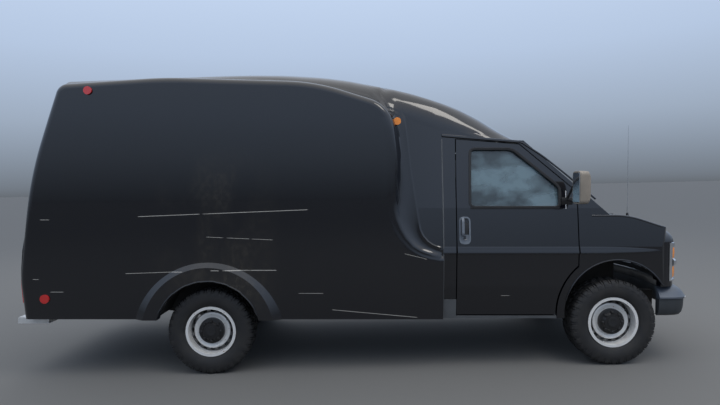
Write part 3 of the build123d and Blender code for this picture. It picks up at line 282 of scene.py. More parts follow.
def paint_finish(name, colour):
    """Aged gloss paint: orange peel, dust low down, and the right side's dull patch and scratches."""
    finish = Finish(name)
    x, y, z = finish.axes()
    broad = finish.noise(1.4, 4.0)
    dust = (1.0 - z.over(0.45, 0.9)) * broad.over(0.35, 0.5)
    base = finish.mix(colour, (0.05, 0.043, 0.034), dust * 0.03)
    rough = 0.05 + 0.08 * broad + 0.14 * dust
    right = 1.0 - y.over(-0.9, 0.01)
    speckle = finish.noise(26, 5.0, (1.0, 1.0, 0.7))
    cloud = finish.noise(3.2, 3.0, (1.0, 1.0, 0.6))
    spot = x.near(-1.28, 0.62, 0.35, 0.65) * z.near(1.15, 0.85, 0.4, 0.6)
    patch = right * spot * cloud.over(0.38, 0.3) * (0.35 + 0.65 * speckle.over(0.45, 0.2))
    base = finish.mix(base, (0.085, 0.072, 0.05), patch * 0.3)
    rough = rough + 0.2 * patch
    scratched = None
    ragged = finish.noise(9.0, 2.0).over(0.3, 0.12)
    for x0, x1, z0, z1, half in SCRATCHES:
        start = row((x0, 0, z0))
        end = row((x1, 0, z1))
        slope = (end.z - start.z) / (end.x - start.x)
        off = (z - (x - start.x) * slope - start.z).size()
        line = (1.0 - off / (half / MM)).clamp()
        mark = line * (x.over(start.x, 0.02) * (1.0 - x.over(end.x - 0.02, 0.02)))
        scratched = mark if scratched is None else scratched + mark
    scratched = (scratched * right * ragged * 3.0).clamp()
    base = finish.mix(base, (0.5, 0.48, 0.44), scratched * 0.75)
    rough = rough + 0.35 * scratched
    finish.set(Base_Color=base, Roughness=rough, Coat_Weight=0.6, Coat_Roughness=0.02)
    finish.bump(finish.noise(180, 1.0), 0.05, 0.0003)
    return finish.material


def plain_finish(name, colour, rough, metallic=0.0, grain=0.0, grain_scale=400, coat=0.0):
    """Even finish with a little wear in its roughness, and a grain if it has one."""
    finish = Finish(name)
    wear = finish.noise(7.0, 3.0)
    finish.set(Base_Color=finish.mix(colour, tuple(0.72 * c for c in colour), wear.over(0.45, 0.4)))
    finish.set(Roughness=rough * (0.85 + 0.3 * wear), Metallic=metallic, Coat_Weight=coat)
    if grain:
        finish.bump(finish.noise(grain_scale, 2.0), grain, 0.0006)
    return finish.material


def wheel_finish(name, hub, steel, cap):
    """Painted steel rim with rust specks round the slots, painted shade darkening the ring of slots, and a
    black cap in its middle.
    """
    finish = Finish(name)
    x, _, z = finish.axes()
    radius = ((x - hub.x).power(2.0) + (z - hub.z).power(2.0)).power(0.5)
    specks = finish.noise(48, 4.0).over(0.66, 0.06)
    stain = finish.noise(11, 4.0).over(0.52, 0.25) * radius.near(0.17, 0.05, 0.3, 0.7)
    sliver = finish.noise(7.0, 1.0).over(0.55, 0.05) * radius.near(0.177, 0.006, 0.6, 0.4)
    # Painted shade: the ring between the lip and the inner ring is darkened almost to black, as if in shadow,
    # with a few silver slivers of the slots left
    painted_slot_shade = radius.near(0.176, 0.02, 0.75, 0.25) * (1.0 - 0.8 * sliver)
    base = finish.mix(steel, (0.22, 0.1, 0.05), (specks * 0.7 + stain * 0.35).clamp())
    base = finish.mix(base, (0.016, 0.016, 0.017), painted_slot_shade * 0.88)
    outside = radius.over(0.1135, 0.0015)
    base = finish.mix(cap, base, outside)
    finish.set(Base_Color=base, Roughness=0.34 + 0.12 * outside + 0.2 * specks, Metallic=0.25 * outside)
    return finish.material


def glass_finish(name, colour, alpha, mirrored=1.0):
    """Tinted glass with painted reflections: soft dark and pale patches of trees and sky in its colour."""
    finish = Finish(name)
    dust = finish.noise(3.0, 4.0)
    # Painted reflection: dark and pale patches, like trees and sky mirrored in the glass, mixed into its
    # colour
    painted_reflections = finish.noise(2.6, 5.0, (1.0, 0.3, 1.6)).over(0.44, 0.16)
    dark = tuple((1.0 - 0.65 * mirrored) * c for c in colour)
    pale = tuple((1.0 + 0.5 * mirrored) * c for c in colour)
    finish.set(Base_Color=finish.mix(dark, pale, painted_reflections), Roughness=0.03 + 0.05 * dust)
    finish.set(Alpha=alpha, IOR=1.45, Coat_Weight=1.0, Coat_Roughness=0.02)
    return finish.material


def lens_finish(name, colour, rib):
    """Moulded lens with fine upright ribs."""
    finish = Finish(name)
    x, y, _ = finish.axes()
    ribs = ((x + y) * rib).math("SINE")
    glow = finish.noise(14, 2.0)
    finish.set(Base_Color=finish.mix(colour, tuple(min(1.0, 1.35 * c) for c in colour), glow))
    finish.set(Roughness=0.12, Coat_Weight=1.0, Coat_Roughness=0.03)
    finish.bump(ribs, 0.35, 0.0012)
    return finish.material


def tyre_finish(name, colour):
    """Dusty rubber, paler in random patches of dust, with a fine grain."""
    finish = Finish(name)
    dust = finish.noise(16, 5.0).over(0.42, 0.4)
    finish.set(Base_Color=finish.mix(colour, (0.05, 0.046, 0.04), dust * 0.4), Roughness=0.62 + 0.18 * dust)
    finish.bump(finish.noise(220, 2.0), 0.25, 0.0008)
    return finish.material


# Finishes by their short names, filled by the first operator
FINISHES = {}


# Shapes


# Metres within which points are welded, and degrees from which an edge is sharp
WELD = 0.00001
SHARP = 35


def dress(name, mesh, finish, body, smooth=True):
    """Makes a mesh into a piece with a finish and its slot, which rides on a body."""
    work = bmesh.new()
    work.from_mesh(mesh)
    bmesh.ops.remove_doubles(work, verts=work.verts, dist=WELD)
    bmesh.ops.recalc_face_normals(work, faces=work.faces)
    work.to_mesh(mesh)
    work.free()
    mesh.materials.clear()
    mesh.materials.append(FINISHES[finish])
    piece = bpy.data.objects.new(name, mesh)
    bpy.context.scene.collection.objects.link(piece)
    if smooth:
        for polygon in mesh.polygons:
            polygon.use_smooth = True
        mesh.set_sharp_from_angle(angle=math.radians(SHARP))
    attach(piece, body)
    return piece


def heading(path, i, loop=False):
    """Unit direction of a path at one of its points."""
    count = len(path)
    before = Vector(path[i - 1] if i > 0 or loop else path[i])
    after = Vector(path[(i + 1) % count] if i < count - 1 or loop else path[i])
    return (after - before).normalized()


# Section of a strip, in shares of its width and height, with a softly crowned top
STRIP_SECTION = ((-0.5, 0), (0.5, 0), (0.5, 0.7), (0.35, 1), (-0.35, 1), (-0.5, 0.7))


class Form:
    """Collects vertices and faces of one piece, in the level drawing's millimetres."""

    def __init__(self):
        self.vertices = []
        self.faces = []

    def loft(self, rings, loop=False):
        """Skin over rings of equal length, closed at its ends or into a loop."""
        count = len(rings[0])
        last = len(rings)
        for ring in rings:
            self.vertices.extend([tuple(v) for v in ring])
        for i in range(last if loop else last - 1):
            a = i * count
            b = ((i + 1) % last) * count
            for j in range(count):
                k = (j + 1) % count
                self.faces.append((a + j, a + k, b + k, b + j))
        if not loop:
            self.faces.append(tuple(reversed(range(count))))
            self.faces.append(tuple(range((last - 1) * count, last * count)))
        return self

    def strip(self, path, outward, width, height, loop=False):
        """Bar with a crowned section along a path; outward is the side its crown faces."""
        rings = []
        for i, point in enumerate(path):
            run = heading(path, i, loop)
            up = Vector(outward)
            up = (up - run * up.dot(run)).normalized()
            across = run.cross(up).normalized()
            rings.append([Vector(point) + across * (a * width) + up * (b * height) for a, b in STRIP_SECTION])
        return self.loft(rings, loop)

    def tube(self, path, radius, sides):
        """Round bar along a path, of one radius or of one at each point."""
        rings = []
        side = heading(path, 0).orthogonal().normalized()
        for i, point in enumerate(path):
            run = heading(path, i)
            side = (side - run * side.dot(run)).normalized()
            other = run.cross(side)
            size = radius[i] if hasattr(radius, "__len__") else radius
            ring = []
            for j in range(sides):
                turn = 2 * math.pi * j / sides
                ring.append(Vector(point) + side * (size * math.cos(turn)) + other * (size * math.sin(turn)))
            rings.append(ring)
        return self.loft(rings)

    def turned(self, centre, side, profile, segments):
        """Body of revolution about Y; profile rows are the distance outwards and the radius."""
        rings = []
        for s in range(segments):
            turn = 2 * math.pi * s / segments
            rings.append([
                (centre[0] + r * math.cos(turn), centre[1] + side * out, centre[2] + r * math.sin(turn))
                for out, r in profile
            ])
        return self.loft(rings, loop=True)

    def box(self, x0, x1, y0, y1, z0, z1, ease):
        """Block, with its edges eased by a small chamfer."""
        rings = []
        for z, inset in ((z0, ease), (z0 + ease, 0), (z1 - ease, 0), (z1, ease)):
            a0, a1, b0, b1 = x0 + inset, x1 - inset, y0 + inset, y1 - inset
            rings.append([
                (a0 + ease, b0, z), (a1 - ease, b0, z), (a1, b0 + ease, z), (a1, b1 - ease, z),
                (a1 - ease, b1, z), (a0 + ease, b1, z), (a0, b1 - ease, z), (a0, b0 + ease, z),
            ])
        return self.loft(rings)

    def patch(self, names, side, rows, proud, depth):
        """Plate laid on the nodes' outer face: rows of points of the side view, its reach out and in."""
        rings = []
        for line in rows:
            faces = [side_y(names, side, x, z) for x, z in line]
            known = [y for y in faces if y is not None]
            faces = [known[0] if y is None else y for y in faces]
            rings.append([((x, side * (y + proud), z), (x, side * (y - depth), z))
                          for (x, z), y in zip(line, faces)])
        return self.plate(rings)

    def plate(self, rings):
        """Skin over rings of pairs, each an outer point and the inner one behind it."""
        return self.loft([[outer for outer, inner in ring] + [inner for outer, inner in ring[::-1]]
                          for ring in rings])

    def piece(self, name, finish, body="van"):
        """The form as a piece of the scene."""
        mesh = bpy.data.meshes.new(name)
        mesh.from_pydata([row(v) for v in self.vertices], [], self.faces)
        return dress(name, mesh, finish, body)


def rectangle(a0, a1, b0, b1):
    """Corners of a rectangle."""
    return [(a0, b0), (a1, b0), (a1, b1), (a0, b1)]


def rounded(points, radius, steps, loop=True):
    """Polyline with its corners rounded, in two or three dimensions."""
    result = []
    count = len(points)
    for i, corner in enumerate(points):
        corner = Vector(corner)
        if not loop and i in (0, count - 1):
            result.append(tuple(corner))
            continue
        before = Vector(points[i - 1])
        after = Vector(points[(i + 1) % count])
        reach = min(radius, 0.45 * (before - corner).length, 0.45 * (after - corner).length)
        start = corner + (before - corner).normalized() * reach
        end = corner + (after - corner).normalized() * reach
        for s in range(steps + 1):
            t = s / steps
            result.append(tuple(start * (1 - t) ** 2 + corner * (2 * t * (1 - t)) + end * t ** 2))
    return result


def on_skin(side, outline, proud):
    """Side-view outline laid on the cab's skin, or proud of it."""
    return [(x, side * (skin_y(z) + proud), z) for x, z in outline]


def skin_strip(label, side, outline, proud, tilt, width, height, finish, body="van", loop=False):
    """Strip along a side-view outline on the cab's skin, with its crown tilted upwards."""
    path = on_skin(side, outline, proud)
    Form().strip(path, (0, side, tilt), width, height, loop).piece(label, finish, body)


def spaced(path, gap):
    """Path with its long runs cut up, so that it can follow a bent skin."""
    result = [path[0]]
    for a, b in zip(path, path[1:]):
        steps = max(1, int(math.dist(a, b) / gap))
        for s in range(1, steps + 1):
            result.append(tuple(p + (q - p) * s / steps for p, q in zip(a, b)))
    return result


def spaced_ring(corners, gap):
    """Closed path with its long runs cut up."""
    return spaced(corners + corners[:1], gap)[:-1]


# Geometry Nodes: copies of a piece turned about an axis, or set out along a line


def repeat_tree(name, ring):
    """Node tree that repeats an object, turned about Y or moved along a step, as one mesh."""
    tree = bpy.data.node_groups.new(name, "GeometryNodeTree")
    for label, kind in (("Geometry", "Geometry"), ("Pattern", "Object"), ("Count", "Int"),
                        ("Step", "Vector"), ("Place", "Vector"), ("Finish", "Material")):
        tree.interface.new_socket(label, in_out="INPUT", socket_type="NodeSocket" + kind)
    tree.interface.new_socket("Geometry", in_out="OUTPUT", socket_type="NodeSocketGeometry")
    new = tree.nodes.new
    given = new("NodeGroupInput")
    line = new("GeometryNodeMeshLine")
    line.mode = "OFFSET"
    pattern = new("GeometryNodeObjectInfo")
    copies = new("GeometryNodeInstanceOnPoints")
    realize = new("GeometryNodeRealizeInstances")
    place = new("GeometryNodeTransform")
    finish = new("GeometryNodeSetMaterial")
    joins = [
        (given, "Count", line, "Count"), (given, "Pattern", pattern, "Object"),
        (pattern, "Geometry", copies, "Instance"), (line, "Mesh", copies, "Points"), (copies, 0, realize, 0),
        (realize, 0, place, 0), (given, "Place", place, "Translation"), (place, 0, finish, 0),
        (given, "Finish", finish, "Material"), (finish, 0, new("NodeGroupOutput"), 0),
    ]
    if ring:
        line.inputs["Offset"].default_value = (0.0, 0.0, 0.0)
        turn = new("ShaderNodeVectorMath")
        turn.operation = "SCALE"
        joins += [(given, "Step", turn, 0), (new("GeometryNodeInputIndex"), 0, turn, "Scale"),
                  (turn, 0, copies, "Rotation")]
    else:
        joins.append((given, "Step", line, "Offset"))
    for source, output, target, socket in joins:
        tree.links.new(source.outputs[output], target.inputs[socket])
    return tree


def repeated(name, tree, form, count, step, place, finish, body, smooth=True):
    """Plain mesh piece from a repeat tree; the form is drawn about the origin and isn't raked."""
    pattern = bpy.data.meshes.new(name + "_pattern")
    pattern.from_pydata([tuple(c / MM for c in v) for v in form.vertices], [], form.faces)
    source = bpy.data.objects.new(name + "_pattern", pattern)
    host = bpy.data.objects.new(name + "_host", bpy.data.meshes.new(name + "_host"))
    for helper in (source, host):
        bpy.context.scene.collection.objects.link(helper)
    modifier = host.modifiers.new("Repeat", "NODES")
    modifier.node_group = tree
    inputs = {item.name: item.identifier for item in tree.interface.items_tree if item.in_out == "INPUT"}
    modifier[inputs["Pattern"]] = source
    modifier[inputs["Count"]] = count
    modifier[inputs["Step"]] = step
    modifier[inputs["Place"]] = place
    modifier[inputs["Finish"]] = FINISHES[finish]
    bpy.context.view_layer.update()
    seen = host.evaluated_get(bpy.context.evaluated_depsgraph_get())
    mesh = bpy.data.meshes.new_from_object(seen)
    mesh.name = name
    for helper in (host, source):
        bpy.data.objects.remove(helper)
    return dress(name, mesh, finish, body, smooth)


# What a user would change


class VanColours(bpy.types.PropertyGroup):
    """Colours of the van's finishes."""

    paint: bpy.props.FloatVectorProperty(
        name="Paint", description="Colour of the body's gloss paint", subtype="COLOR", size=3,
        default=(0.003, 0.0034, 0.006), min=0.0, max=1.0)
    wheel: bpy.props.FloatVectorProperty(
        name="Wheel", description="Colour of the painted steel rims", subtype="COLOR", size=3,
        default=(0.72, 0.72, 0.71), min=0.0, max=1.0)
    tyre: bpy.props.FloatVectorProperty(
        name="Tyre", description="Colour of clean tyre rubber", subtype="COLOR", size=3,
        default=(0.014, 0.014, 0.015), min=0.0, max=1.0)
    mirror: bpy.props.FloatVectorProperty(
        name="Mirror", description="Colour of the mirror housings", subtype="COLOR", size=3,
        default=(0.24, 0.21, 0.175), min=0.0, max=1.0)
    bumper: bpy.props.FloatVectorProperty(
        name="Bumper", description="Colour of the front bumper", subtype="COLOR", size=3,
        default=(0.075, 0.09, 0.115), min=0.0, max=1.0)
    amber: bpy.props.FloatVectorProperty(
        name="Amber", description="Colour of the turn and marker lenses", subtype="COLOR", size=3,
        default=(0.8, 0.24, 0.02), min=0.0, max=1.0)
    fabric: bpy.props.FloatVectorProperty(
        name="Seat cloth", description="Colour of the seats' cloth", subtype="COLOR", size=3,
        default=(0.3, 0.285, 0.26), min=0.0, max=1.0)


class VanSizes(bpy.types.PropertyGroup):
    """Sizes of the repeated details."""

    lug_count: bpy.props.IntProperty(
        name="Tread lugs", description="Shoulder lugs round each side of a tyre", default=34, min=12, max=80)
    cap_bumps: bpy.props.IntProperty(
        name="Cap bumps", description="Nut bumps round each wheel's centre cap", default=8, min=3, max=12)
    grille_bars: bpy.props.IntProperty(
        name="Cowl slats", description="Slats in the cowl's air inlet", default=30, min=4, max=60)
    seal_width: bpy.props.FloatProperty(
        name="Seal width", description="Width of the rubber round a window", default=0.016, min=0.004,
        max=0.04, unit="LENGTH", subtype="DISTANCE")


def colours():
    """Colours set in the panel."""
    return bpy.context.scene.van_colours


def sizes():
    """Sizes set in the panel."""
    return bpy.context.scene.van_sizes


# Plain finishes: name of the material, colour, roughness, metallic, grain and the grain's scale
PLAIN = {
    "trim": ("grained grey trim", (0.075, 0.08, 0.086), 0.6, 0, 0.3),
    "valance": ("dark bumper face", (0.035, 0.04, 0.045), 0.5, 0, 0.2),
    "grip": ("grey handle", (0.13, 0.15, 0.18), 0.4, 0, 0.1),
    "rubber": ("black rubber seal", (0.012, 0.012, 0.013), 0.55),
    "chassis": ("black frame paint", (0.022, 0.021, 0.02), 0.7, 0, 0.4, 60),
    "iron": ("cast iron", (0.1, 0.095, 0.09), 0.7, 0.6, 0.5, 120),
    "steel": ("dull exhaust steel", (0.3, 0.27, 0.24), 0.5, 0.9, 0.2, 80),
    "bright": ("bright trim", (0.75, 0.76, 0.78), 0.16, 1),
    "step": ("weathered aluminium", (0.68, 0.68, 0.67), 0.5, 0.55, 0.2, 90),
    "cabin": ("grained cabin plastic", (0.055, 0.055, 0.058), 0.6, 0, 0.3),
    "tank": ("tank plastic", (0.03, 0.03, 0.033), 0.6, 0, 0.2),
    "belt": ("seat belt webbing", (0.26, 0.25, 0.23), 0.8, 0, 0.4, 900),
    "mirror_glass": ("mirror glass", (0.75, 0.8, 0.85), 0.02, 1),
}
HUB_CAP = (0.012, 0.012, 0.013)
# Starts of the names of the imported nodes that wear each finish
NODE_FINISHES = {
    "body": ("body_shell", "rear_door"),
    "cab": ("cab_shell", "hood", "fender", "front_door"),
    "chassis": ("body_floor", "ladder_frame", "rear_axle", "leaf_springs", "front_suspension"),
    "screen": "windshield", "glass": "door_glass", "dark_glass": "rear_glass",
    "clear": "headlamps", "red": "red_lamps", "amber": "amber_lamps",
    "trim": ("grille", "rocker_guards"), "mirror": "mirror", "bumper": "front_bumper", "step": "rear_bumper",
    "iron": ("engine_block", "knuckle"), "steel": ("driveshaft", "exhaust"), "tank": "fuel_tank",
    "cabin": ("dashboard", "steering_wheel"), "cloth": "seats", "tyre": "tyre",
}


def paint_node(node, material):
    """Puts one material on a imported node."""
    node.data.materials.clear()
    node.data.materials.append(material)


class VAN_OT_finishes(bpy.types.Operator):
    """Paint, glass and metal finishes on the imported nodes"""

    bl_idname = "van.finishes"
    bl_label = "Finishes"

    def execute(self, context):
        tint = colours()
        FINISHES.update({key: plain_finish(*given) for key, given in PLAIN.items()})
        FINISHES.update(
            body=paint_finish("aged black body paint", tuple(tint.paint)),
            cab=paint_finish("black cab paint", tuple(tint.paint)),
            mirror=plain_finish("tan mirror housing", tuple(tint.mirror), 0.5, grain=0.1),
            bumper=plain_finish("blue grey bumper", tuple(tint.bumper), 0.38, coat=0.25),
            cloth=plain_finish("seat cloth", tuple(tint.fabric), 0.9, grain=0.6, grain_scale=700),
            glass=glass_finish("cab glass", (0.1, 0.15, 0.175), 0.72),
            screen=glass_finish("windscreen glass", (0.05, 0.07, 0.085), 0.7, mirrored=0.3),
            dark_glass=glass_finish("tinted rear glass", (0.01, 0.012, 0.015), 0.85),
            red=lens_finish("red lens", (0.42, 0.012, 0.012), 900),
            amber=lens_finish("amber lens", tuple(tint.amber), 900),
            clear=lens_finish("clear headlamp lens", (0.62, 0.65, 0.68), 700),
            tyre=tyre_finish("tyre rubber", tuple(tint.tyre)),
        )
        for finish, starts in NODE_FINISHES.items():
            for name, node in NODES.items():
                if name.startswith(starts):
                    paint_node(node, FINISHES[finish])
        for name, (side, hub) in WHEELS.items():
            steel = wheel_finish("steel wheel " + name, row(hub), tuple(tint.wheel), HUB_CAP)
            paint_node(NODES["rim_" + name], steel)
        return {"FINISHED"}


# Tyre: distance outwards from the wheel's middle and radius, round the groove floor
TYRE_HALF = [
    (-91.6, 204), (-91.6, 222), (-100, 229), (-104, 236), (-109, 238), (-117, 256), (-121.5, 280),
    (-121.8, 305), (-117.5, 330), (-108, 350), (-96, 361), (-70, 365.5),
]
TYRE_CARCASS = TYRE_HALF + [(-out, radius) for out, radius in reversed(TYRE_HALF)]
# Tread blocks: rows of across, outer radius and foot radius; width, sweep and start in shares of the pitch
TREAD = [
    ("shoulder", [(62, 374.6, 362), (92, 373.4, 358), (106, 365, 349), (115, 348, 336), (121.6, 322, 318)],
     0.62, 0, 0),
    ("shoulder_short", [(66, 374.4, 362), (92, 372.8, 358), (105, 363, 350), (111, 352, 344)], 0.2, 0, 0.5),
    ("inner", [(12, 374.8, 362), (30, 374.8, 362), (52, 374.6, 362)], 0.7, 0.1, 0.25),
]


def lug(rows, flip, width, sweep, lead):
    """Tread block about the origin, as wide as an angle, narrower at its top."""
    rings = []
    for i, (across, top, low) in enumerate(rows):
        middle = lead + sweep * flip * i
        ring = []
        for radius, share in ((low, -0.5), (low, 0.5), (top, 0.42), (top, -0.42)):
            turn = middle + share * width
            ring.append((radius * math.cos(turn), flip * across, radius * math.sin(turn)))
        rings.append(ring)
    return Form().loft(rings)


class VAN_OT_tyres(bpy.types.Operator):
    """All-terrain tyres with lugs, in place of the plain ones"""

    bl_idname = "van.tyres"
    bl_label = "Tyres"

    def execute(self, context):
        ring = repeat_tree("Tread ring", True)
        count = sizes().lug_count
        pitch = 2 * math.pi / count
        for name, (side, hub) in WHEELS.items():
            body = "wheel_" + name
            tyre = Form().turned(hub, side, TYRE_CARCASS, 96).piece("tyre_carcass_" + name, "tyre", body)
            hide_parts("tyre_" + name)
            for kind, rows, width, sweep, start in TREAD:
                for flip in (-1, 1):
                    lead = (start + (0.5 if flip < 0 else 0)) * pitch
                    block = lug(rows, flip, width * pitch, sweep * pitch, lead)
                    word = "outer" if flip * side > 0 else "back"
                    repeated("tread_%s_%s_%s" % (kind, word, name), ring, block, count,
                             (0.0, pitch, 0.0), row(hub), "tyre", body, smooth=False)
        return {"FINISHED"}


# Nut bump and boss of the wheel's cap: distance outwards and radius
BUMP = ((62, 15), (84, 14), (92, 12), (95.5, 8), (96.5, 3))
BUMP_CIRCLE = 84
BOSS = ((90, 0.5), (90, 46), (97.5, 44), (99.5, 34), (98, 26), (98.6, 0.5))


class VAN_OT_caps(bpy.types.Operator):
    """Nut bumps and the valve on each wheel"""

    bl_idname = "van.caps"
    bl_label = "Wheel caps"

    def execute(self, context):
        ring = repeat_tree("Cap bumps", True)
        count = sizes().cap_bumps
        for name, (side, hub) in WHEELS.items():
            body = "wheel_" + name
            rings = []
            for out, size in BUMP:
                turns = [t * math.pi / 6 for t in range(12)]
                rings.append([
                    (BUMP_CIRCLE + size * math.cos(t), side * out, size * math.sin(t)) for t in turns])
            repeated("cap_bumps_" + name, ring, Form().loft(rings), count, (0.0, 2 * math.pi / count, 0.0),
                     row(hub), "rubber", body)
            x, y, z = hub
            valve = [(x + 128, y + side * 36, z + 92), (x + 133, y + side * 62, z + 96)]
            Form().tube(valve, 4.5, 8).piece("valve_" + name, "rubber", body)
            Form().turned(hub, side, BOSS, 40).piece("cap_boss_" + name, "rubber", body)
        return {"FINISHED"}


# Plate and cup of the door handle: heights, how far they stand out and finish
HANDLE_PLATES = (("plate", (1078, 1110, 1150), 5, "grip"), ("cup", (1150, 1200, 1250, 1290), 1.2, "rubber"))
LOCK = ((0, 0.5), (0, 11), (10, 10), (10.5, 0.5))


class VAN_OT_door_trim(bpy.types.Operator):
    """Window seals, division bars and handles of the front doors"""

    bl_idname = "van.door_trim"
    bl_label = "Front door trim"

    def execute(self, context):
        width = sizes().seal_width * MM
        for name, side in SIDES.items():
            body = "door_" + name
            seal = spaced_ring(rounded(DOOR_WINDOW, 48, 6), 60)
            skin_strip("window_seal_" + name, side, seal, -9, 0, width * 1.5, 12, "rubber", body, loop=True)
            # Dark post at the front of the window, and the pale edge of the run before it
            post = [(1736 + 0.05 * (z - 1388), z) for z in (1388, 1470, 1556)]
            skin_strip("window_post_" + name, side, post, -13, 0, 26, 11, "rubber", body)
            run = [(1786 + 0.045 * (z - 1340), z) for z in (1372, 1440, 1530)]
            skin_strip("window_run_" + name, side, run, -1, 0, 7, 4, "step", body)
            # Handle: rounded grey surround, plate and dark cup, pull and lock
            ring = spaced_ring(rounded(rectangle(862, 946, 1072, 1296), 34, 6), 40)
            skin_strip("handle_surround_" + name, side, ring, -1, 0.12, 15, 9, "grip", body, loop=True)
            for word, heights, proud, finish in HANDLE_PLATES:
                rows = [[(x, z) for z in heights] for x in (870, 904, 938)]
                Form().patch(["front_door_" + name], side, rows, proud, 6).piece(
                    "handle_%s_%s" % (word, name), finish, body)
            pull = [(884, side * y, z) for y, z in ((988, 1288), (1006, 1268), (1017, 1160), (1004, 1142))]
            Form().strip(rounded(pull, 24, 5, loop=False), (0, side, 0.1), 24, 12).piece(
                "handle_pull_" + name, "grip", body)
            Form().turned((906, side * 1001, 1112), side, LOCK, 24).piece("door_lock_" + name, "bright", body)
            # Seal lip behind the window's lower edge
            lip = [(x, 1378) for x in (958, 1200, 1480, 1736)]
            skin_strip("window_lip_" + name, side, lip, -3, 0, 14, 10, "rubber", body)
        return {"FINISHED"}


# Mirror housing from the glass at the rear to its nose: x and share of the full section
MIRROR_ROWS = ((1786, 0.94), (1792, 1), (1836, 0.99), (1862, 0.93), (1876, 0.82), (1884, 0.64), (1887, 0.4))
MIRROR_Y = 1182
MIRROR_Z = 1557


class VAN_OT_mirrors(bpy.types.Operator):
    """Tan mirror housings with their glass and arms"""

    bl_idname = "van.mirrors"
    bl_label = "Door mirrors"

    def execute(self, context):
        section = rounded(rectangle(-80, 80, -136, 138), 40, 6)
        for name, side in SIDES.items():
            body = "door_" + name
            rings = []
            for x, share in MIRROR_ROWS:
                tall = 0.35 * share + 0.65 if share > 0.9 else share
                rings.append([(x, side * MIRROR_Y + a * share, MIRROR_Z + b * tall) for a, b in section])
            shell = Form().loft(rings).piece("mirror_housing_" + name, "mirror", body)
            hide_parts("mirror_" + name)
            y0, y1 = sorted((side * 1116, side * 1248))
            glass = Form().box(1783.6, 1788, y0, y1, 1436, 1680, 2)
            glass.piece("mirror_glass_" + name, "mirror_glass", body)
            for height in (1448, 1600):
                arm = [(1826, side * 1120, height), (1820, side * 1060, height - 10),
                       (1806, side * (skin_y(1430) + 4), 1452 + (height - 1448) * 0.12)]
                Form().tube(rounded(arm, 40, 5, loop=False), 10, 12).piece(
                    "mirror_arm_%d_%s" % (height, name), "rubber", body)
            foot = [(x, 1440) for x in (1752, 1800, 1846)]
            skin_strip("mirror_foot_" + name, side, foot, -4, 0, 62, 16, "rubber", body)
        return {"FINISHED"}


AERIAL_Y = -790
# Width of the cowl's air inlet, in metres
INLET_WIDTH = 1.44


class VAN_OT_cab_trim(bpy.types.Operator):
    """Drip and pillar rails, wipers, cowl slats and the aerial"""

    bl_idname = "van.cab_trim"
    bl_label = "Cab trim"

    def execute(self, context):
        rail = spaced([(722, 2018.5), (1402, 1962.5)], 80)
        pillar = [(1396, 1963), (1432, 1954), (1606, 1838), (1796, 1680), (2050, 1456)]
        pillar = spaced(rounded(pillar, 60, 6, loop=False), 80)
        for name, side in SIDES.items():
            skin_strip("drip_rail_" + name, side, rail, -1, 0.25, 23, 15, "cab")
            skin_strip("pillar_rail_" + name, side, pillar, -2, 0.35, 13, 12, "cab")
        count = sizes().grille_bars
        slat = Form().box(-9, 9, -11, 11, -3, 3, 1.5)
        repeated("cowl_slats", repeat_tree("Slat row", False), slat, count,
                 (0.0, INLET_WIDTH / (count - 1), 0.0), row((2240, -INLET_WIDTH * MM / 2, 1326)), "rubber",
                 "van", smooth=False)
        for y in (-520, 120):
            run = [(2208, y - 40, 1348), (2196, y - 20, 1362), (2118, y + 330, 1416)]
            arm = [(x + 62 * (1 - (across / 850) ** 2), across, z)
                   for x, across, z in rounded(run, 20, 4, loop=False)]
            Form().tube(arm, [9] * (len(arm) - 1) + [6], 8).piece("wiper_arm_%d" % (y + 600), "rubber")
        mast = [(2414, AERIAL_Y, 1288), (2412, AERIAL_Y, 1330)]
        Form().tube(mast, (16, 8), 12).piece("aerial_base", "rubber")
        whip = [(2412 - 0.0024 * s * s, AERIAL_Y, 1328 + s * 66) for s in range(13)]
        Form().tube(whip, [3.2 - 0.14 * s for s in range(13)], 8).piece("aerial_whip", "bright")
        return {"FINISHED"}


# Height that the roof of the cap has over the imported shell, by place along the van
CAP_RISE = [(-1500, 0), (-1028, 20), (-543, 40), (-100, 54), (174, 54), (450, 74), (712, 84), (900, 84),
            (1100, 68), (1300, 30), (1436, 0)]
CAP_STEPS = 44
# Height of the line about which the cap's section is read, from how far off, in how many directions
CAP_AXIS_Z = 1500
CAP_REACH = 2600
CAP_RAYS = 720
CAP_DEPTH = 8
# Upper edge of the slab, below which the cap's skin isn't seen
SLAB_TOP = [(-1500, 2512), (-1028, 2496), (-517, 2460), (-180, 2398), (46, 2341), (174, 2264), (251, 2165),
            (1500, 1700)]
# Flute: outer edge x and z, inner edge x and z
FLUTE = [(215, 2215, 372, 2300), (256, 2150, 392, 2190), (280, 2052, 412, 2052), (308, 1854, 431, 1880),
         (303, 1657, 449, 1710), (290, 1451, 474, 1537), (288, 1380, 500, 1362), (310, 1290, 514, 1270),
         (353, 1195, 526, 1195), (400, 1120, 552, 1140), (460, 1052, 590, 1096), (520, 1016, 630, 1068),
         (574, 997, 660, 1056), (640, 986, 690, 1049), (706, 981, 708, 1045)]
# How far under the slab's edge the flute starts, the share of its width that its hollow takes, its steps
FLUTE_LEAD = 72
FLUTE_FLOOR = 0.6
FLUTE_STEPS = 14
# Belt crease: height and how far it stands out
BELT = ((981, -1), (984, 10), (989, 13), (996, 12.5), (1012, 8), (1030, 3.6), (1044, 1.2), (1049, -1))
BELT_Z = 1013
# Heights at which the cover of the joint between cab and body is fitted
JOINT_HEIGHTS = (452, 600, 750, 900, 975, 1055, 1200, 1400, 1600, 1800, 1990)


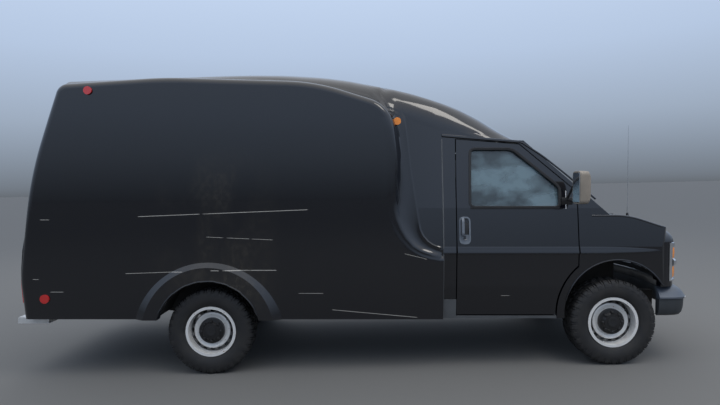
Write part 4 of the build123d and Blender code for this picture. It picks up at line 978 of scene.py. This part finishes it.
class VAN_OT_body_forms(bpy.types.Operator):
    """Crown of the cap, flutes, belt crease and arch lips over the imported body"""

    bl_idname = "van.body_forms"
    bl_label = "Body forms"

    def cap(self):
        """Roof of the cap, raised over the shell and merging into it at both ends."""
        rings = []
        first, last = CAP_RISE[0][0], CAP_RISE[-1][0]
        for k in range(CAP_STEPS + 1):
            x = first + (last - first) * k / CAP_STEPS
            rise = along(CAP_RISE, x)
            low = max(along(SLAB_TOP, x) + 24, 1990)
            skin = []
            for j in range(CAP_RAYS + 1):
                turn = math.pi * j / CAP_RAYS
                start = (x, CAP_REACH * math.cos(turn), CAP_AXIS_Z + CAP_REACH * math.sin(turn))
                place = hit(SHELL, start, (x, 0, CAP_AXIS_Z))
                if place and place[2] > low:
                    skin.append(place)
            top = max(p[2] for p in skin)
            skin = [p for p in skin if p[2] > top - 330]
            ring = []
            for j in range(CAP_STEPS + 1):
                place = skin[round((len(skin) - 1) * j / CAP_STEPS)]
                y, z = place[1], place[2]
                out = Vector((0, y, z - CAP_AXIS_Z)).normalized()
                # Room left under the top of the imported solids' box
                room = (CAD_BOX[1][2] - row(place)[2]) * MM - 4
                ease = min(1, min(j, CAP_STEPS - j) / (0.12 * CAP_STEPS))
                lift = max(0, min(rise, room)) * ease * ease * (3 - 2 * ease)
                proud = min(1.2, room + 3.8) if 0 < j < CAP_STEPS else -2
                if rise < 0.5:
                    proud = -1
                raised = (x, y * (1 - 0.17 * lift / 800) + out.y * proud, z + lift + out.z * proud)
                ring.append((raised, (x, y - out.y * CAP_DEPTH, z - out.z * CAP_DEPTH)))
            rings.append(ring)
        Form().plate(rings).piece("cap_crown", "cab")

    def flute(self, name, side):
        """Concave channel from the slab's edge to the flat of the cab, with a crease at its inner edge."""
        rings = []
        for k, (x0, z0, x1, z1) in enumerate(FLUTE):
            run = Vector((x1 - x0, z1 - z0))
            width = run.length
            run.normalize()
            edge = side_y(SHELL, side, x0 - run.x * 62, z0 - run.y * 62, 1020) - 4
            base = side_y(SHELL, side, x1, z1, 990)
            under = -FLUTE_LEAD / width
            ring = []
            for j in range(FLUTE_STEPS + 1):
                share = under + (1.02 - under) * j / FLUTE_STEPS
                x = x0 + run.x * width * share
                z = z0 + run.y * width * share
                skin = side_y(SHELL, side, x, z, 1000)
                fall = max(0, 1 - max(0, share) / FLUTE_FLOOR)
                y = base + (edge - base) * fall ** 2
                if share > FLUTE_FLOOR:
                    y = max(y, skin + 11 * min(1, (share - FLUTE_FLOOR) / 0.36) ** 2)
                y = max(y, skin + 1)
                if j == FLUTE_STEPS or k in (0, len(FLUTE) - 1):
                    y = skin - 1
                ring.append(((x, side * y, z), (x, side * (side_y(SHELL, side, x, z, 990) - 6), z)))
            rings.append(ring)
        Form().plate(rings).piece("flute_" + name, "body")

    def crease(self, label, names, side, x0, x1, body, fade=False):
        """Bright-catching step along the belt, which may run out forwards."""
        rings = []
        count = max(3, int((x1 - x0) / 45))
        for k in range(count + 1):
            x = x0 + (x1 - x0) * k / count
            share = 1 - (k / count) ** 3 if fade else 1
            ring = []
            for height, reach in BELT:
                z = BELT_Z + (height - BELT_Z) * (0.15 + 0.85 * share)
                y = side_y(names, side, x, z, skin_y(z))
                out = reach * share if reach > 0 else reach
                ring.append(((x, side * (y + out), z), (x, side * (y - 4), z)))
            rings.append(ring)
        Form().plate(rings).piece(label, "cab", body)

    def lip(self, label, names, side, centre, radius, low, high, size):
        """Rolled lip round a wheel arch, where the skin starts."""
        path = []
        for k in range(49):
            turn = math.radians(low + (high - low) * k / 48)
            for step in range(60):
                reach = radius - 90 + 4 * step
                x = centre[0] + reach * math.cos(turn)
                z = centre[1] + reach * math.sin(turn)
                y = side_y(names, side, x, z, 0)
                if y > 930:
                    path.append((x, side * (y + 0.5), z))
                    break
        Form().tube(path, size, 8).piece(label, "cab")

    def execute(self, context):
        self.cap()
        for name, side in SIDES.items():
            self.flute(name, side)
            fender = ["fender_" + name]
            seam = [(719, side * (side_y(SHELL + ["cab_shell"], side, 721, z, 1000) - 1), z)
                    for z in JOINT_HEIGHTS]
            Form().strip(seam, (0, side, 0), 11, 5).piece("joint_cover_" + name, "trim")
            ridge = []
            for x in range(2010, 2651, 40):
                top = hit(fender, (x, side * 955, 1900), (x, side * 955, 0))
                if top:
                    y = side_y(fender, side, x, top[2] - 22, 985)
                    ridge.append((x, side * (y - 11), top[2] - 9))
            Form().tube(ridge, 12, 16).piece("fender_ridge_" + name, "cab")
            self.crease("belt_post_" + name, ["cab_shell"], side, 717, 826, "van")
            self.crease("belt_door_" + name, ["front_door_" + name], side, 840, 1887, "door_" + name)
            self.crease("belt_fender_" + name, fender, side, 1900, 2600, "van", fade=True)
            self.lip("arch_lip_front_" + name, fender, side, (2232, 480), 450, 12, 168, 7)
            self.lip("arch_lip_rear_" + name, SHELL, side, (-1300, 297), 455, 22, 158, 8)
        return {"FINISHED"}


# Plan of the nose corner from the fender forward to the grille, and of the bumper from its end to its middle
NOSE_PLAN = [(2606, 1001), (2660, 995), (2716, 974), (2750, 946), (2770, 912), (2784, 872), (2800, 810),
             (2816, 730), (2834, 612)]
BUMPER_PLAN = [(2610, 975), (2700, 975), (2790, 962), (2845, 934), (2880, 886), (2906, 810), (2946, 640),
               (2984, 460), (3010, 280), (3024, 120), (3027, 0)]
# Pieces along the nose: name, finish, body, first and last share of the plan, section of reach and height.
# They are the corner over the lamps, the hood's lip, the flank beside the lamps, the sill under them and
# the bands of the chrome surround.
NOSE_PARTS = [
    ("nose_corner", "cab", "van", 0, 0.72,
     [(-6, 1080), (-9, 1100), (-20, 1130), (-42, 1158), (-72, 1180), (-111, 1194), (-156, 1188),
      (-156, 1080)]),
    ("hood_lip", "cab", "hood", 0.75, 1,
     [(-8, 1087), (-9, 1100), (-19, 1130), (-40, 1150), (-90, 1150), (-90, 1100), (-40, 1087)]),
    ("nose_flank", "cab", "van", 0, 0.18, [(-3, 696), (-3, 1084), (-60, 1084), (-60, 696)]),
    ("lamp_sill", "cab", "van", 0.12, 1, [(-12, 694), (-10, 740), (-70, 740), (-70, 694)]),
    ("lamp_foot", "bright", "van", 0.16, 1,
     [(-8, 738), (2, 743), (6, 758), (0, 774), (-30, 776), (-30, 738)]),
    ("lamp_bar", "bright", "van", 0.24, 1,
     [(-30, 868), (-2, 870), (16, 886), (20, 904), (16, 922), (-2, 938), (-30, 940)]),
    ("lamp_head", "bright", "van", 0.16, 1,
     [(-30, 1034), (0, 1036), (5, 1052), (0, 1074), (-12, 1084), (-30, 1084)]),
    ("lamp_edge", "bright", "van", 0.13, 0.21, [(-30, 740), (4, 744), (5, 1076), (-30, 1082)]),
    ("lamp_end", "bright", "van", 0.96, 1, [(-30, 740), (4, 744), (4, 1078), (-30, 1082)]),
]
# Pieces of the bumper: name, finish and section
BUMPER_PARTS = [
    ("bumper_upper", "bumper",
     [(-50, 580), (4, 582), (10, 588), (10, 600), (2, 608), (-12, 634), (-38, 662), (-74, 684), (-86, 684),
      (-88, 670), (-60, 640)]),
    ("bumper_lower", "valance",
     [(-50, 582), (-4, 582), (-2, 560), (-6, 500), (-16, 460), (-34, 436), (-48, 430), (-62, 440),
      (-62, 560)]),
]


def plan_form(plan, side, section, first=0):
    """Form with one section all along a plan; its first ring may stand out further."""
    rings = []
    for i, (x, y) in enumerate(plan):
        x0, y0 = plan[max(i - 1, 0)]
        x1, y1 = plan[min(i + 1, len(plan) - 1)]
        run = Vector((x1 - x0, y1 - y0)).normalized()
        more = first if i == 0 else 0
        rings.append([
            (x - run.y * (reach + more), side * (y + run.x * (reach + more)), z) for reach, z in section])
    return Form().loft(rings)


def plan_part(start, end):
    """Part of the nose's plan between two shares of its length, in even steps."""
    fine = spaced(rounded(NOSE_PLAN, 30, 4, loop=False), 22)
    first = int(start * (len(fine) - 1))
    last = max(first + 1, int(end * (len(fine) - 1)))
    return fine[first:last + 1]


class VAN_OT_lamps(bpy.types.Operator):
    """Nose corners with chrome surrounds, amber corner lenses and headlamps, and the bumper"""

    bl_idname = "van.lamps"
    bl_label = "Nose and lamps"

    def execute(self, context):
        for name, side in SIDES.items():
            for word, finish, body, start, end, section in NOSE_PARTS:
                # The corner starts a little proud, on the fender's skin
                first = 3 if word == "nose_corner" else 0
                form = plan_form(plan_part(start, end), side, section, first)
                form.piece("%s_%s" % (word, name), finish, body)
            for word, low, high in (("low", 772, 872), ("high", 936, 1038)):
                section = [(-26, low), (-3, low), (1.5, low + 12), (3, (low + high) / 2), (1.5, high - 12),
                           (-3, high), (-26, high)]
                for lens, finish, start, end in (
                        ("corner_lens", "amber", 0.2, 0.56), ("headlamp", "clear", 0.57, 0.97)):
                    form = plan_form(plan_part(start, end), side, section)
                    form.piece("%s_%s_%s" % (lens, word, name), finish)
        half = rounded(BUMPER_PLAN, 30, 4, loop=False)
        whole = half + [(x, -y) for x, y in reversed(half[:-1])]
        for word, finish, section in BUMPER_PARTS:
            made = plan_form(whole, 1, section).piece(word, finish)
            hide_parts("front_bumper")
        # Painted highlight: a thin bright aluminium strip along the front of the bumper, standing for the
        # highlight on the upper edge of its lower part
        line = []
        for x, y in whole:
            if abs(y) < 950 and x > 2840:
                aside = abs(y) / 960
                line.append((x + 9 * (1 - aside) + 6, y + math.copysign(9 * aside, y), 594))
        Form().strip(line, (1, 0, 0), 7, 3).piece("bumper_line", "step")
        return {"FINISHED"}


# The tail's skin from the sill up: height and x
TAIL_SKIN = [(545, -2944), (700, -2951), (860, -2947), (1000, -2933), (1250, -2897), (1500, -2861),
             (1700, -2826), (1900, -2778), (2040, -2738)]


class VAN_OT_tail(bpy.types.Operator):
    """Handle and seals of the rear doors"""

    bl_idname = "van.tail"
    bl_label = "Tail trim"

    def execute(self, context):
        path = [(x + 6, -12, z) for z, x in TAIL_SKIN]
        Form().strip(spaced(path, 80), (-1, 0, 0.12), 26, 8).piece("tail_seal", "rubber", "tail_door_right")
        plate = Form().box(-2951, -2936, -112, -52, 960, 1120, 4)
        plate.piece("tail_handle_plate", "trim", "tail_door_right")
        grip = [(x, -82, z) for x, z in ((-2938, 1100), (-2962, 1092), (-2966, 1000), (-2944, 984))]
        Form().tube(rounded(grip, 20, 5, loop=False), 9, 12).piece("tail_handle", "bright", "tail_door_right")
        for name, side in SIDES.items():
            outline = spaced_ring(rounded(rectangle(120, 760, 1330, 1860), 30, 4), 80)
            ring = [(along(TAIL_SKIN, z) + 7, side * y, z) for y, z in outline]
            Form().strip(ring, (-1, 0, 0.15), 24, 10, loop=True).piece(
                "rear_glass_seal_" + name, "rubber", "tail_door_" + name)
        return {"FINISHED"}


# Seat cushions: lean in degrees, then rows of centre x, centre z, half-thickness and half-width
CUSHIONS = {
    "base": (0, [(912, 1010, 30, 205), (940, 1004, 58, 232), (1100, 1000, 66, 244), (1280, 1004, 68, 244),
                 (1360, 1002, 58, 236), (1386, 996, 30, 210)]),
    "back": (78, [(972, 1080, 40, 215), (958, 1130, 58, 240), (920, 1330, 56, 246), (888, 1500, 52, 236),
                  (872, 1590, 42, 205), (867, 1616, 20, 170)]),
    "head": (78, [(866, 1622, 24, 100), (862, 1650, 40, 132), (856, 1710, 42, 138), (850, 1758, 34, 124),
                  (848, 1776, 14, 96)]),
}
SEAT_Y = 430
# Belt from the post to the buckle: x, distance from the middle and z
BELT_RUN = ((850, 830, 1640), (900, 660, 1560), (1010, 420, 1230), (1090, 230, 1085))


class VAN_OT_cabin(bpy.types.Operator):
    """Cloth seats with their plinths, and the belts"""

    bl_idname = "van.cabin"
    bl_label = "Cabin"

    def execute(self, context):
        made = []
        for name, side in SIDES.items():
            middle = side * SEAT_Y
            for word, (tilt, rows) in CUSHIONS.items():
                turn = math.radians(tilt)
                rings = []
                for x, z, thick, half in rows:
                    section = rounded(rectangle(-half, half, -thick, thick), min(thick, half) * 0.85, 6)
                    rings.append([(x + b * math.sin(turn), middle + a, z + b * math.cos(turn))
                                  for a, b in section])
                pad = Form().loft(rings).piece("seat_%s_%s" % (word, name), "cloth")
                made.append(pad)
            plinth = Form().box(962, 1338, middle - 198, middle + 198, 681, 945, 10)
            made.append(plinth.piece("seat_plinth_" + name, "cabin"))
            belt = rounded([(x, side * y, z) for x, y, z in BELT_RUN], 60, 5, loop=False)
            Form().strip(spaced(belt, 60), (1, 0, 0.6), 46, 2.5).piece("belt_" + name, "belt")
        for piece in made:
            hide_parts("seats")
        return {"FINISHED"}


# Colour of the plain sky at shares of the way from straight down to straight up
SKY_LOW = (0.07, 0.07, 0.07, 1.0)
SKY = [(0.49, (0.1, 0.105, 0.11)), (0.505, (0.19, 0.22, 0.26)), (0.56, (0.38, 0.46, 0.58)),
       (0.62, (0.52, 0.64, 0.84)), (0.75, (0.72, 0.87, 1.12)), (0.87, (1.05, 1.12, 1.25))]
SKY_HIGH = (1.35, 1.38, 1.42, 1.0)
SKY_STRENGTH = 0.9
FLOOR_REACH = 400
# Area lamps: place, aim, size, power and colour; only the small glint shows in reflections
LAMPS = [
    ("key", (5.0, -5.0, 10.0), (0.5, 0.0, 1.2), 9.0, 480, (1.0, 0.95, 0.88)),
    ("fill", (-6.5, -5.5, 9.0), (-0.5, 0.0, 1.2), 8.0, 160, (0.9, 0.95, 1.0)),
    ("glint", (4.5, -4.2, 9.0), (0.5, 0.0, 1.2), 2.5, 95, (1.0, 0.96, 0.9)),
    ("back", (-2.0, 8.0, 7.5), (0.0, 0.0, 1.2), 8.0, 240, (1.0, 0.97, 0.93)),
]
# Camera of the photograph, in the level drawing
CAMERA_PLACE = (-5.6, -5490.3, 1562.4)
CAMERA_PITCH = 1.7073
CAMERA_LENS = 26
CAMERA_SENSOR = 36
CAMERA_FAR = 1000


class VAN_OT_stage(bpy.types.Operator):
    """Plain floor and sky, soft lights and the camera of the photograph"""

    bl_idname = "van.stage"
    bl_label = "Stage"

    def floor(self, scene):
        """Plain floor, out to the skyline."""
        mesh = bpy.data.meshes.new("floor")
        corners = rectangle(-FLOOR_REACH, FLOOR_REACH, -FLOOR_REACH, FLOOR_REACH)
        mesh.from_pydata([(x, y, 0) for x, y in corners], [], [(0, 1, 2, 3)])
        ground = Finish("plain floor")
        ground.set(Base_Color=(0.13, 0.13, 0.127), Roughness=0.9)
        mesh.materials.append(ground.material)
        stage = bpy.data.objects.new("floor", mesh)
        scene.collection.objects.link(stage)

    def sky(self, scene):
        """Plain sky, coloured by height."""
        world = bpy.data.worlds.new("plain sky")
        scene.world = world
        world.use_nodes = True
        nodes = world.node_tree.nodes
        light = nodes["Background"]
        light.inputs["Strength"].default_value = SKY_STRENGTH
        split = nodes.new("ShaderNodeSeparateXYZ")
        lift = nodes.new("ShaderNodeMapRange")
        lift.inputs["From Min"].default_value = -1
        ramp = nodes.new("ShaderNodeValToRGB")
        bands = ramp.color_ramp.elements
        bands[0].position = 0
        bands[0].color = SKY_LOW
        bands[1].position = 1
        bands[1].color = SKY_HIGH
        for where, tone in SKY:
            bands.new(where).color = (*tone, 1.0)
        for source, output, target, socket in (
                (nodes.new("ShaderNodeTexCoord"), "Generated", split, 0), (split, "Z", lift, "Value"),
                (lift, "Result", ramp, "Fac"), (ramp, "Color", light, "Color")):
            world.node_tree.links.new(source.outputs[output], target.inputs[socket])

    def lamps(self, scene):
        """Soft area lamps round the van."""
        for name, place, aim, size, power, colour in LAMPS:
            data = bpy.data.lights.new(name, "AREA")
            data.size = size
            data.energy = power
            data.color = colour
            lamp = bpy.data.objects.new(name, data)
            lamp.location = place
            lamp.visible_glossy = name == "glint"
            lamp.rotation_euler = (Vector(aim) - Vector(place)).to_track_quat("-Z", "Y").to_euler()
            scene.collection.objects.link(lamp)

    def camera(self, scene):
        """Camera of the photograph, level in the drawing and so raked in the row's frame."""
        camera = bpy.data.objects.new("camera", bpy.data.cameras.new("camera"))
        camera.data.sensor_width = CAMERA_SENSOR
        camera.data.lens = CAMERA_LENS
        camera.data.clip_end = CAMERA_FAR
        pitch = math.radians(CAMERA_PITCH)
        right = lean((1, 0, 0))
        upward = lean((0, math.sin(pitch), math.cos(pitch)))
        back = lean((0, -math.cos(pitch), math.sin(pitch)))
        turn = Matrix((right, upward, back)).transposed().to_4x4()
        camera.matrix_world = Matrix.Translation(row(CAMERA_PLACE)) @ turn
        scene.collection.objects.link(camera)
        scene.camera = camera

    def execute(self, context):
        scene = bpy.context.scene
        scene.view_settings.view_transform = "Standard"
        self.floor(scene)
        self.sky(scene)
        self.lamps(scene)
        self.camera(scene)
        return {"FINISHED"}


class VAN_PT_panel(bpy.types.Panel):
    """Sizes, colours and steps of the camper van"""

    bl_idname = "VAN_PT_panel"
    bl_label = "Camper van"
    bl_space_type = "VIEW_3D"
    bl_region_type = "UI"
    bl_category = "Camper van"

    def draw(self, context):
        for group in (context.scene.van_sizes, context.scene.van_colours):
            for key in group.bl_rna.properties.keys():
                if key not in ("rna_type", "name"):
                    self.layout.prop(group, key)
        for step in STEPS:
            self.layout.operator(step.bl_idname)


STEPS = (
    VAN_OT_finishes, VAN_OT_tyres, VAN_OT_caps, VAN_OT_door_trim, VAN_OT_mirrors, VAN_OT_cab_trim,
    VAN_OT_body_forms, VAN_OT_lamps, VAN_OT_tail, VAN_OT_cabin, VAN_OT_stage,
)
CLASSES = (VanColours, VanSizes, *STEPS, VAN_PT_panel)


def register():
    for cls in CLASSES:
        bpy.utils.register_class(cls)
    bpy.types.Scene.van_colours = bpy.props.PointerProperty(type=VanColours)
    bpy.types.Scene.van_sizes = bpy.props.PointerProperty(type=VanSizes)


def unregister():
    del bpy.types.Scene.van_sizes
    del bpy.types.Scene.van_colours
    for cls in reversed(CLASSES):
        bpy.utils.unregister_class(cls)


def main():
    register()
    for step in STEPS:
        group, call = step.bl_idname.split(".")
        getattr(getattr(bpy.ops, group), call)()


if __name__ == "__main__":
    main()
